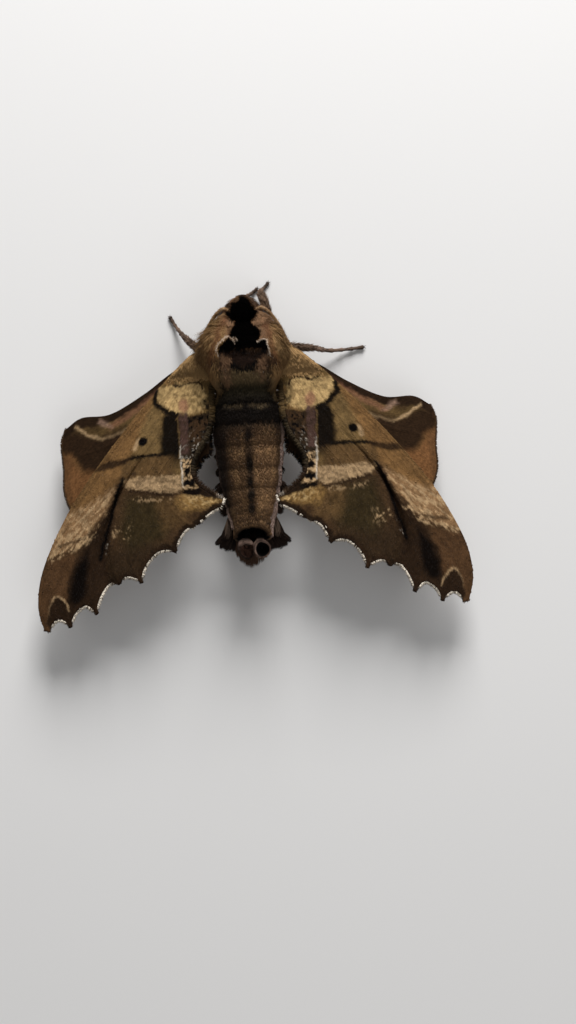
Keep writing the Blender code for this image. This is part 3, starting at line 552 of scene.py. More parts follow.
def scale_grain_group():
    """Fine powdery scales: a place in millimetres and a colour in, a mottled colour and the
    scales' height out."""
    group, given, made = new_group(
        "scale_grain",
        (("Place", "NodeSocketVector", None), ("Colour", "NodeSocketColor", None),
         ("Size", "NodeSocketFloat", 0.15), ("Contrast", "NodeSocketFloat", 0.5)),
        (("Colour", "NodeSocketColor"), ("Height", "NodeSocketFloat")),
    )
    nodes, links = group.nodes, group.links
    shrink = nodes.new("ShaderNodeVectorMath")
    shrink.operation = "SCALE"
    inverse = nodes.new("ShaderNodeMath")
    inverse.operation = "DIVIDE"
    inverse.inputs[0].default_value = 1.0
    links.new(given.outputs["Size"], inverse.inputs[1])
    links.new(given.outputs["Place"], shrink.inputs[0])
    links.new(inverse.outputs[0], shrink.inputs["Scale"])
    speckle = nodes.new("ShaderNodeTexNoise")
    speckle.inputs["Scale"].default_value = 1.0
    speckle.inputs["Detail"].default_value = 3.0
    speckle.inputs["Roughness"].default_value = 0.65
    links.new(shrink.outputs[0], speckle.inputs["Vector"])
    cells = nodes.new("ShaderNodeTexVoronoi")
    cells.inputs["Scale"].default_value = 1.3
    links.new(shrink.outputs[0], cells.inputs["Vector"])
    spread = nodes.new("ShaderNodeMapRange")
    spread.inputs["From Min"].default_value = 0.3
    spread.inputs["From Max"].default_value = 0.7
    spread.inputs["To Min"].default_value = -1.0
    spread.inputs["To Max"].default_value = 1.0
    links.new(speckle.outputs["Fac"], spread.inputs["Value"])
    tone = nodes.new("ShaderNodeMath")
    tone.operation = "MULTIPLY_ADD"
    tone.inputs[2].default_value = 1.0
    links.new(spread.outputs[0], tone.inputs[0])
    links.new(given.outputs["Contrast"], tone.inputs[1])
    mix = nodes.new("ShaderNodeMix")
    mix.data_type = "RGBA"
    mix.blend_type = "MULTIPLY"
    mix.inputs["Factor"].default_value = 1.0
    links.new(given.outputs["Colour"], mix.inputs[6])
    links.new(tone.outputs[0], mix.inputs[7])
    links.new(mix.outputs[2], made.inputs["Colour"])
    height = nodes.new("ShaderNodeMath")
    height.operation = "SUBTRACT"
    links.new(speckle.outputs["Fac"], height.inputs[0])
    links.new(cells.outputs["Distance"], height.inputs[1])
    links.new(height.outputs[0], made.inputs["Height"])
    return group


scale_grain = scale_grain_group()


def scaled_material(name, size, contrast, relief, roughness, gloss=0.12, rows=False):
    """A matte coat of scales that takes its markings from the mesh. Size is a scale's width and
    relief its height in millimetres; rows says that the scales lie in rows kept on the mesh."""
    material = bpy.data.materials.new(name)
    material.use_nodes = True
    nodes, links = material.node_tree.nodes, material.node_tree.links
    shader = nodes["Principled BSDF"]
    shader.inputs["Roughness"].default_value = roughness
    shader.inputs["Specular IOR Level"].default_value = gloss
    marks = nodes.new("ShaderNodeAttribute")
    marks.attribute_name = "markings"
    grain = nodes.new("ShaderNodeGroup")
    grain.node_tree = scale_grain
    grain.inputs["Size"].default_value = size
    grain.inputs["Contrast"].default_value = contrast
    links.new(marks.outputs["Color"], grain.inputs["Colour"])
    if rows:
        lie = nodes.new("ShaderNodeAttribute")
        lie.attribute_name = "scale_rows"
        links.new(lie.outputs["Vector"], grain.inputs["Place"])
    else:
        place = nodes.new("ShaderNodeTexCoord")
        to_mm = nodes.new("ShaderNodeVectorMath")
        to_mm.operation = "SCALE"
        to_mm.inputs["Scale"].default_value = 1 / MM
        links.new(place.outputs["Object"], to_mm.inputs[0])
        links.new(to_mm.outputs[0], grain.inputs["Place"])
    links.new(grain.outputs["Colour"], shader.inputs["Base Color"])
    bump = nodes.new("ShaderNodeBump")
    bump.inputs["Strength"].default_value = 1.0
    bump.inputs["Distance"].default_value = relief * MM
    links.new(grain.outputs["Height"], bump.inputs["Height"])
    links.new(bump.outputs["Normal"], shader.inputs["Normal"])
    return material


def finish_piece(piece, material, replaced=()):
    piece.data.materials.append(material)
    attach(piece, "root")
    if replaced:
        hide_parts(*replaced)


short_scales = scaled_material("short_scales", 0.14, 0.3, 0.03, 0.85)
skin_tones = body_colours(skin_points)
# Painted shade: the inside of the hollow at the tail end is painted black.
shaded_hollow = np.r_[skin.shape[0] * SKIN_SIDES : len(skin_points) - 2, len(skin_points) - 1]
skin_tones[shaded_hollow] = BODY_PIGMENTS["black"]
body = add_mesh("body_skin", skin_points, skin_faces, skin_tones)
finish_piece(body, short_scales, BODY_NODES)


# The coat: long flat scales in tufts, rooted all over the skin. They stand up in a black crest
# on the head, flow back over the shoulders, and lie flat and short on the abdomen.
def scatter(grid, weight, count, rng):
    """Random places on a ringed surface, as many as weight asks for: the row and side of each,
    with their fractions."""
    near, far = grid[:-1], grid[1:]
    across = np.roll(near, -1, 1) - far
    down = near - np.roll(far, -1, 1)
    area = np.linalg.norm(np.cross(across, down), axis=-1) / 2
    chance = (area * weight).ravel()
    pick = rng.choice(chance.size, count, p=chance / chance.sum())
    i, j = np.divmod(pick, grid.shape[1])
    return i + rng.random(count), j + rng.random(count)


def read_grid(grid, i, j):
    """The value of a ringed grid between its corners."""
    row, side = np.floor(i).astype(int), np.floor(j).astype(int)
    down, across = (i - row)[:, None], (j - side)[:, None]
    row_after = np.minimum(row + 1, grid.shape[0] - 1)
    side_after = (side + 1) % grid.shape[1]
    upper = grid[row, side] * (1 - across) + grid[row, side_after] * across
    lower = grid[row_after, side] * (1 - across) + grid[row_after, side_after] * across
    return upper * (1 - down) + lower * down


TUFT_STATIONS = {  # share of the length, share of the width, for short and long tufts
    "short": ((0.0, 0.8), (0.5, 1.0)),
    "long": ((0.0, 0.7), (0.35, 1.0), (0.72, 0.75)),
}
PATCH_WIDTH = 0.003
SKIN_CHART = 60.0  # millimetres of body to one unit of the brackets' chart
COAT_TUFTS = {"crest": 11500, "shoulders": 12200, "sides": 8000, "face": 600, "eye collar": 520,
              "back": 7500, "abdomen": 14500}
BRACKET_TUFTS = 130
EYE_CENTRE = np.array([2.15, 17.1, 5.7])
EYE_RADIUS = 1.15
EYE_GAP = 0.12
EYE_AXIS = (0.86, 0.5, -0.05)  # the way that the right eye looks
EYE_FUR = (66.0, 108.0)  # degrees from that way between which the fur round an eye is rooted


def tufts(roots, lies, normals, lengths, widths, lifts, colours, charts, kind="short",
          tree=None, tip_shade=1.15, root_shade=0.7, ridge=0.45):
    """Flat tapered tufts, each a closed body of three sides whose height is ridge times half its
    width. With a tree of the surface each follows it, and its tip stands over it by lift times
    its length."""
    stations = TUFT_STATIONS[kind]
    count = len(roots)
    lies, normals = unit(lies), unit(normals)
    sides = unit(np.cross(lies, normals))
    rings, shades = [], []
    for share, _ in (*stations, (1.0, 0.0)):
        centre = roots + lies * (lengths * share)[:, None]
        over = normals
        if tree is not None and share > 0:
            found = [tree.find_nearest(Vector(p)) for p in centre]
            on_skin = np.array([hit[0] for hit in found])
            over = np.array([hit[1] for hit in found])
            centre = on_skin
        rise = lifts * lengths * share**1.4 + 0.015
        centre = centre + over * rise[:, None]
        rings.append((centre, over))
    points, tones = [], []
    for (centre, over), (share, width) in zip(rings, stations):
        half = (widths * width / 2)[:, None]
        points += [centre - sides * half, centre + sides * half, centre + over * half * ridge]
        # Painted shade and light on every tuft: darker at its root, where the tufts above shade it,
        # and brighter towards its tip. One edge is a little darker and the ridge a little lighter.
        tone = root_shade + (tip_shade - root_shade) * share
        tones += [tone * 0.94, tone, tone * 1.06]
    points.append(rings[-1][0])
    tones.append(tip_shade)
    corners = len(points)
    points = np.stack(points, 1)
    points[..., 2] = np.maximum(points[..., 2], 0.0)
    tones = np.array(tones)[None, :, None] * colours[:, None, :]
    chart_y = np.linspace(-0.5, 0.5, len(stations) + 1).repeat(3)[:corners] * PATCH_WIDTH
    chart_x = np.array([(-0.5, 0.5, 0.0)] * (len(stations) + 1)).ravel()[:corners] * PATCH_WIDTH
    chart = charts[:, None, :] + np.stack([chart_x, chart_y], -1)[None]
    base = np.array([(0, 1, 2)])
    walls = [
        (3 * s + a, 3 * s + 3 + a, 3 * s + 3 + b, 3 * s + b)
        for s in range(len(stations) - 1) for a, b in ((0, 1), (1, 2), (2, 0))
    ]
    last = 3 * (len(stations) - 1)
    tips = [(last + a, corners - 1, last + b) for a, b in ((0, 1), (1, 2), (2, 0))]
    offsets = (np.arange(count) * corners)[:, None, None]
    quads = (np.array(walls)[None] + offsets).reshape(-1, 4)
    triangles = (np.concatenate([base, tips])[None] + offsets).reshape(-1, 3)
    return points.reshape(-1, 3), quads, triangles, tones.reshape(-1, 3), chart.reshape(-1, 2)


def coat_piece(name, growths, material, replaced=()):
    """Joins growths of tufts into one piece."""
    first, quads, triangles = 0, [], []
    for points, four, three, _, _ in growths:
        quads.append(four + first)
        triangles.append(three + first)
        first += len(points)
    piece = add_mesh(
        name, np.concatenate([g[0] for g in growths]),
        [np.concatenate(quads), np.concatenate(triangles)],
        np.concatenate([g[3] for g in growths]),
        patches=np.concatenate([g[4] for g in growths]),
    )
    finish_piece(piece, material, replaced)


skin_tree = BVHTree.FromPolygons(
    [Vector(p) for p in skin.reshape(-1, 3)], ring_faces(*skin.shape[:2]).tolist(),
)
ROOT_DEPTH = 0.04


def grow(mask, count, length, width, lift, seed, flow=None, kind="short", wild=0.25,
         grid=skin, tree=skin_tree, colour_of=body_colours, chart=(0.0, 1.0), vary=0.16,
         **shades):
    """Tufts on the part of a ringed surface where mask is 1. flow gives the way they lie, and
    length, width and lift may each be a number or a function of the roots. Their brightness
    differs by vary."""
    rng = np.random.default_rng(seed)
    middles = (grid[:-1] + grid[1:]) / 2
    i, j = scatter(grid, mask(middles.reshape(-1, 3)).reshape(middles.shape[:2]), count, rng)
    roots = read_grid(grid, i, j)
    back = unit(read_grid(np.gradient(grid, axis=0), i, j))
    around = read_grid(np.roll(grid, -1, 1) - np.roll(grid, 1, 1), i, j)
    normals = unit(np.cross(around, back))
    lies = back if flow is None else flow(roots)
    lies = unit(lies + wild * rng.normal(size=(count, 3)))
    lies = unit(lies - normals * np.sum(lies * normals, axis=1, keepdims=True))

    def value(given, spread):
        base = given(roots) if callable(given) else np.full(count, given)
        return base * rng.uniform(1 - spread, 1 + spread, count)

    colours = colour_of(roots) * rng.uniform(1 - vary, 1 + vary, count)[:, None]
    charts = np.column_stack([j / grid.shape[1], chart[0] + chart[1] * i / grid.shape[0]])
    return tufts(roots - normals * ROOT_DEPTH, lies, normals, value(length, 0.3),
                 value(width, 0.25), value(lift, 0.4), colours, charts, kind, tree, **shades)


def spaced(line, count):
    """A line of straight pieces as count evenly spaced points, and each point's share of it."""
    reached = np.concatenate([[0], np.cumsum(np.linalg.norm(np.diff(line, axis=0), axis=1))])
    share = np.linspace(0, 1, count)
    wanted = share * reached[-1]
    return np.column_stack([np.interp(wanted, reached, line[:, k]) for k in (0, 1)]), share


def everywhere(points):
    return np.ones(len(points))


def on_stripe(points):
    return patch(points[:, :2], HEAD_STRIPE, 0.15) * ease(6.0, 7.2, points[:, 2])


half_widths = np.abs(skin[:STATIONS, :, 0]).max(axis=1)


def towards_side(points):
    """0 over the middle of the body, 1 at its sides."""
    reach = np.interp(-points[:, 1], -mid_y, half_widths)
    return ease(0.72, 0.99, np.abs(points[:, 0]) / reach)


def shoulder_flow(points):
    """Back, and outwards over the shoulders, more so further ahead and to the side."""
    x, y = points[:, 0], points[:, 1]
    outward = np.sign(x) * (0.12 + 0.5 * ease(2.2, 4.4, np.abs(x))) * ease(8.5, 11.0, y)
    outward = outward + np.sign(x) * 0.5 * ease(15.0, 17.5, y)
    return np.column_stack([outward, np.full(len(x), -1.0), np.full(len(x), -0.05)])


def left_shoulder(points):
    """1 on the left shoulder, whose coat is fuller than the right one's."""
    return ease(-2.6, -4.0, points[:, 0]) * ease(12.5, 14.5, points[:, 1])


def shoulder_length(points):
    """Long and silky at the sides, short beside the black block so that none crosses it."""
    x, y = points[:, 0], points[:, 1]
    beside_block = (1 - ease(3.1, 3.7, np.abs(x))) * ease(16.6, 15.6, y)
    length = (1.45 - 0.5 * ease(16.2, 17.2, y) + 0.35 * ease(16, 13, y)
              + 0.35 * left_shoulder(points))
    return length * (1 - 0.8 * beside_block)


def shoulder_lift(points):
    """Flat over the back, raised at the sides and beside the head."""
    x, y = points[:, 0], points[:, 1]
    ahead = ease(16.0, 17.0, y) * ease(1.7, 2.3, np.abs(x))
    fuller = left_shoulder(points) * (1 + ease(14.8, 15.8, y))
    return (0.05 + 0.36 * towards_side(points) * ease(11.5, 13.5, y) + 0.06 * ahead
            + 0.18 * fuller)


def crest_flow(points):
    x = points[:, 0]
    return np.column_stack([0.25 * np.sign(x) * ease(0.3, 1.5, np.abs(x)), np.full(len(x), -1.0),
                            np.full(len(x), 0.15)])


hair = scaled_material("hair_scales", 0.08, 0.16, 0.01, 0.75, gloss=0.1)
velvet = scaled_material("black_velvet", 0.1, 0.3, 0.01, 1.0, gloss=0.02)


def eye_collar(side):
    """Rings round an eye, from the edge of what shows of it back over its hidden half."""
    axis = unit(np.array(EYE_AXIS) * (side, 1, 1))
    across = unit(np.cross((0.0, 0.0, 1.0), axis))
    over = np.cross(axis, across)
    turn = -np.arange(60) * 2 * math.pi / 60
    spokes = np.cos(turn)[:, None] * across + np.sin(turn)[:, None] * over
    centre = EYE_CENTRE * (side, 1, 1)
    return np.array([
        centre + EYE_RADIUS * (math.cos(tilt) * axis + math.sin(tilt) * spokes)
        for tilt in np.radians(np.linspace(*EYE_FUR, 8))
    ])


nose = centres[0] + FACE_BULGE
face = np.array([nose + (skin[0] - nose) * share for share in np.linspace(0.05, 1.0, 8)])


def away_from_eye(points):
    """How far each point stands off the nearer eye."""
    mirrored = np.column_stack([np.abs(points[:, 0]), points[:, 1:]])
    return np.linalg.norm(mirrored - EYE_CENTRE, axis=1) - EYE_RADIUS


def clear_of_eyes(points):
    return away_from_eye(points) > EYE_GAP


def side_length(points):
    """Short on the face and round the eyes, long down the sides of the thorax."""
    return 0.9 - 0.62 * ease(1.3, 0.5, away_from_eye(points)) - 0.1 * ease(17, 19, points[:, 1])


def face_flow(points):
    """Outwards and down over the face."""
    return np.column_stack([0.5 * points[:, 0], np.full(len(points), 0.3),
                            np.full(len(points), -1.0)])


def bracket_tufts(line, rng):
    """Short white tufts along one of the brackets beside the black block."""
    path, _ = spaced(smooth_path(line), BRACKET_TUFTS)
    places = path + rng.normal(size=path.shape) * 0.03
    landed = [skin_tree.ray_cast(Vector((x, y, SKIN_REACH)), Vector((0, 0, -1)))
              for x, y in places]
    roots = np.array([hit[0] for hit in landed])
    facing = np.array([hit[1] for hit in landed])
    facing = facing * np.sign(facing[:, 2:])
    lies = unit(np.array([0.0, -1.0, 0.0]) + 0.3 * rng.normal(size=roots.shape))
    spread = rng.uniform(0.75, 1.25, (3, BRACKET_TUFTS))
    return tufts(
        roots, lies, facing, 0.17 * spread[0], 0.07 * spread[1], 0.6 * spread[2],
        np.outer(rng.uniform(0.5, 1.1, BRACKET_TUFTS), BODY_PIGMENTS["cream"]),
        roots[:, :2] / SKIN_CHART + 0.5, root_shade=0.8,
    )


coat_piece("crest", [
    grow(on_stripe, COAT_TUFTS["crest"], lambda p: 0.5 - 0.18 * ease(14.8, 14.2, p[:, 1]), 0.15,
         0.2, 11, crest_flow, wild=0.2, root_shade=0.8),
], velvet)
coat_piece("shoulder_coat", [
    grow(lambda p: (1 - on_stripe(p)) * ease(8.2, 9.0, p[:, 1]) * ease(6.0, 6.8, p[:, 2])
         * clear_of_eyes(p), COAT_TUFTS["shoulders"], shoulder_length, 0.14, shoulder_lift, 12,
         shoulder_flow, kind="long", wild=0.07, tip_shade=1.06, root_shade=0.92, vary=0.12),
], hair)
coat_piece("side_coat", [
    grow(lambda p: ease(7.4, 8.2, p[:, 1]) * ease(6.8, 5.8, p[:, 2]) * clear_of_eyes(p),
         COAT_TUFTS["sides"], side_length, 0.16, 0.14, 13, kind="long", wild=0.16,
         root_shade=0.8),
    grow(everywhere, COAT_TUFTS["face"], 0.5, 0.13, 0.2, 17, face_flow, kind="long", wild=0.3,
         grid=face, tree=None),
    *(grow(everywhere, COAT_TUFTS["eye collar"], 0.36, 0.11, 0.3, 18 + side, kind="long",
           wild=0.22, grid=eye_collar(side), tree=None, root_shade=0.6) for side in (-1, 1)),
], hair)
coat_piece("white_brackets", [
    bracket_tufts(line, np.random.default_rng(16 + number)) for number, line in enumerate(BRACKETS)
], hair)
coat_piece("back_coat", [
    grow(lambda p: ease(6.7, 7.2, p[:, 1]) * ease(12.9, 12.2, p[:, 1]) * ease(7.0, 8.0, p[:, 2])
         * ease(3.9, 3.2, np.abs(p[:, 0])), COAT_TUFTS["back"],
         lambda p: 1.1 - 0.5 * ease(10.8, 11.8, p[:, 1]), 0.13, 0.12, 14, kind="long", wild=0.18,
         root_shade=0.85),
], hair)
coat_piece("abdomen_coat", [
    grow(lambda p: ease(7.3, 6.9, p[:, 1]), COAT_TUFTS["abdomen"], 0.5, 0.18, 0.035, 15,
         wild=0.07, root_shade=0.96, tip_shade=1.03, vary=0.07, ridge=0.12),
], hair)


# The forewings: two stiff membranes with raised veins, toothed at the outer margin and hooked at
# the inner corner, covered with powdery scales that lie in rows away from the root.
HINGE = np.array([4.6, 11.6])
HINGE_HEIGHT = 7.4
ARCH_RISE = 0.9
ARCH_REACH = 18.0
SIDE_DROOP = 3.6
HALF_SPAN = 27.0
SIDES = {"left": -1, "right": 1}
FOREWING_SWEEP = {"left": 0.033, "right": -0.033}
FOREWING_COSTA = (
    (4.75, 13.4), (6.6, 12.6), (11.0, 8.5), (17.5, 1.3), (22.8, -5.5), (26.6, -12.5),
    (27.65, -17.3), (27.0, -20.6),
)
FOREWING_DORSUM = (
    (4.65, 9.5), (4.7, 7.0), (4.8, 4.6), (5.3, 2.6), (6.4, 0.8), (7.2, -0.8), (7.3, -2.3),
    (6.75, -3.6), (5.6, -4.7), (4.5, -5.4), (3.45, -5.85),
)
FOREWING_TEETH = (
    (26.4, -20.85), (23.5, -20.4), (19.95, -18.95), (17.0, -15.3), (14.1, -15.5), (9.6, -11.85),
    (7.2, -9.0), (3.8, -6.7),
)
FOREWING_HOLLOWS = (
    (25.1, -19.35), (21.6, -17.8), (18.6, -15.5), (15.9, -14.5), (12.3, -12.0), (8.6, -9.5),
    (5.4, -7.5),
)
TOOTH_HALF = 0.21
FRONT_FADE = 1.15
BACK_FULL = 0.88
BACK_FADE = 1.6
CREASE_COLUMN = 0.36
CREASE_WIDTH = 0.05
CREASE_DEPTH = 0.55
TOOTH_TAPER = 1.15
WING_COLUMNS = 238
WING_ROWS = 174
MEMBRANE = 0.16
ROOT_TUCK = (0.9, 0.06)  # how far the root reaches into the body, over which share of the wing
SCALE_ROWS = (0.12, 0.4)  # width and length of a scale in its row
VEIN_RISE = 0.04
VEIN_WIDTH = 0.34


def even_points(points, count):
    """A smooth line as count points evenly spaced along it."""
    line = smooth_path(points, 40)
    reached = np.concatenate([[0], np.cumsum(np.linalg.norm(np.diff(line, axis=0), axis=1))])
    wanted = np.linspace(0, reached[-1], count)
    return np.column_stack([np.interp(wanted, reached, line[:, k]) for k in (0, 1)])


def bend_of(line):
    """A line's points as shares along and across the straight line between its ends."""
    chord = line[-1] - line[0]
    across = np.array([-chord[1], chord[0]])
    return (line - line[0]) @ chord / (chord @ chord), (line - line[0]) @ across / (chord @ chord)


def wing_plan(costa, dorsum, margin, columns, rows):
    """A wing in plan: lines from the root to the outer margin, with the bend of the costa
    fading into that of the inner margin. Also each line's share of the way between them."""
    front_along, front_bow = bend_of(even_points(costa, rows))
    back_along, back_bow = bend_of(even_points(dorsum, rows))
    ends, share = spaced(margin, columns)
    column = share[:, None]
    root = np.array(costa[0]) * (1 - column) + np.array(dorsum[0]) * column
    chord = (ends - root)[:, None, :]
    across = np.stack([-chord[..., 1], chord[..., 0]], -1)
    even = np.linspace(0, 1, rows)[None, :]
    of_front = (1 - column) ** FRONT_FADE
    of_back = np.minimum(1.0, column / BACK_FULL) ** BACK_FADE
    along = even + of_front * (front_along - even) + of_back * (back_along - even)
    bow = of_front * front_bow + of_back * back_bow
    plan = root[:, None, :] + chord * along[..., None] + across * bow[..., None]
    return plan, share


def arch_height(plan):
    """Height of the wings' middle surface: arched near the body, drooping to the side."""
    reach = np.minimum(1.0, np.linalg.norm(plan - HINGE, axis=-1) / ARCH_REACH)
    arch = reach * reach * (3 - 2 * reach)
    return HINGE_HEIGHT + ARCH_RISE * arch - SIDE_DROOP * (plan[..., 0] / HALF_SPAN) ** 2.2


def swept(plan, slope):
    """A wing set back in proportion to its distance out from the hinge."""
    moved = np.array(plan)
    moved[..., 1] -= slope * np.maximum(0.0, moved[..., 0] - HINGE[0])
    return moved


def hollow_line(tooth, hollow, after, steps=14):
    """The curved edge of the margin's hollow between two teeth."""
    tooth, hollow, after = (np.array(p) for p in (tooth, hollow, after))
    chord = unit(after - tooth)
    start, end = tooth + chord * TOOTH_HALF, after - chord * TOOTH_HALF
    along = (hollow - start) @ chord
    inward = hollow - start - chord * along
    rest = np.linalg.norm(end - start) - along
    turn = np.linspace(0, math.pi / 2, steps)[:, None]
    falling = start + chord * along * (1 - np.cos(turn)) + inward * np.sin(turn) ** TOOTH_TAPER
    rising = (start + chord * (along + rest * np.sin(turn[1:]))
              + inward * np.abs(np.cos(turn[1:])) ** TOOTH_TAPER)
    return np.concatenate([falling, rising]), -unit(inward)


def grid_faces(columns, rows):
    i, j = np.meshgrid(np.arange(columns - 1), np.arange(rows - 1), indexing="ij")
    first = (i * rows + j).ravel()
    return np.stack([first, first + 1, first + rows + 1, first + rows], -1)


def trimmed(plan, faces, hollows):
    """Cuts the hollows out of a wing: drops the faces inside them, and draws the corners of
    those left on the edge to its line. Also says which faces lie wholly outside them."""
    gone = np.zeros(len(plan), bool)
    target = plan.copy()
    for line, outward in hollows:
        outline = np.concatenate([line, [line[-1] + outward * 2, line[0] + outward * 2]])
        inside = within(plan, outline)
        gone |= inside
        _, place = nearest_on(plan[inside], line)
        target[inside] = place
    kept = faces[~gone[faces].all(axis=1)]
    whole = ~gone[faces].any(axis=1)
    return target, kept, whole


def sheet(name, upper, lower, faces, upper_colours, lower_colours, lies):
    """A closed thin sheet between two surfaces that share their faces' corners."""
    used, packed = np.unique(faces, return_inverse=True)
    faces = packed.reshape(faces.shape)
    upper, lower = upper[used], lower[used]
    a, b, c = (upper[faces[:, k]] for k in (0, 1, 2))
    if np.cross(b - a, c - a)[:, 2].mean() < 0:
        faces = faces[:, ::-1]
    count = len(used)
    starts, ends = faces.ravel(), np.roll(faces, -1, axis=1).ravel()
    rim = ~np.isin(starts.astype(np.int64) * count + ends, ends.astype(np.int64) * count + starts)
    starts, ends = starts[rim], ends[rim]
    walls = np.stack([ends, starts, starts + count, ends + count], -1)
    return add_mesh(
        name, np.concatenate([upper, lower]), [np.concatenate([faces, faces[:, ::-1] + count, walls])],
        np.concatenate([upper_colours[used], lower_colours[used]]),
        lies=np.concatenate([lies[used], lies[used] + (0, 0, 3.0)]),
    )


forewing_hollows = [
    hollow_line(*three) for three in zip(FOREWING_TEETH, FOREWING_HOLLOWS, FOREWING_TEETH[1:])
]
forewing_rim = np.concatenate([line for line, _ in forewing_hollows])
WING_PIGMENTS = {
    "olive tan": pigment(98, 78, 50), "tan": pigment(108, 78, 51), "costal tan": pigment(110, 82, 52),
    "brown": pigment(61, 46, 32), "dark brown": pigment(42, 31, 22), "black": pigment(12, 8, 6),
    "dark olive": pigment(52, 43, 28), "panel": pigment(22, 17, 12), "cream": pigment(158, 131, 98),
    "yellow cream": pigment(168, 140, 96), "pink": pigment(128, 88, 70), "lilac": pigment(70, 53, 47),
    "white": pigment(205, 194, 178), "apex": pigment(74, 54, 37), "rust": pigment(74, 54, 37),
    "grey green": pigment(56, 47, 34), "dun": pigment(86, 66, 43), "smear": pigment(132, 106, 90),
    "field": pigment(46, 36, 26), "cell": pigment(101, 81, 53), "golden": pigment(126, 97, 58),
}


class Painted:
    """A wing's colours, over which one tone after another is laid where its cover is 1."""

    def __init__(self, ground):
        self.colours = ground

    def lay(self, cover, tone):
        colour = WING_PIGMENTS[tone] if isinstance(tone, str) else tone
        self.colours = tint(self.colours, cover, colour)


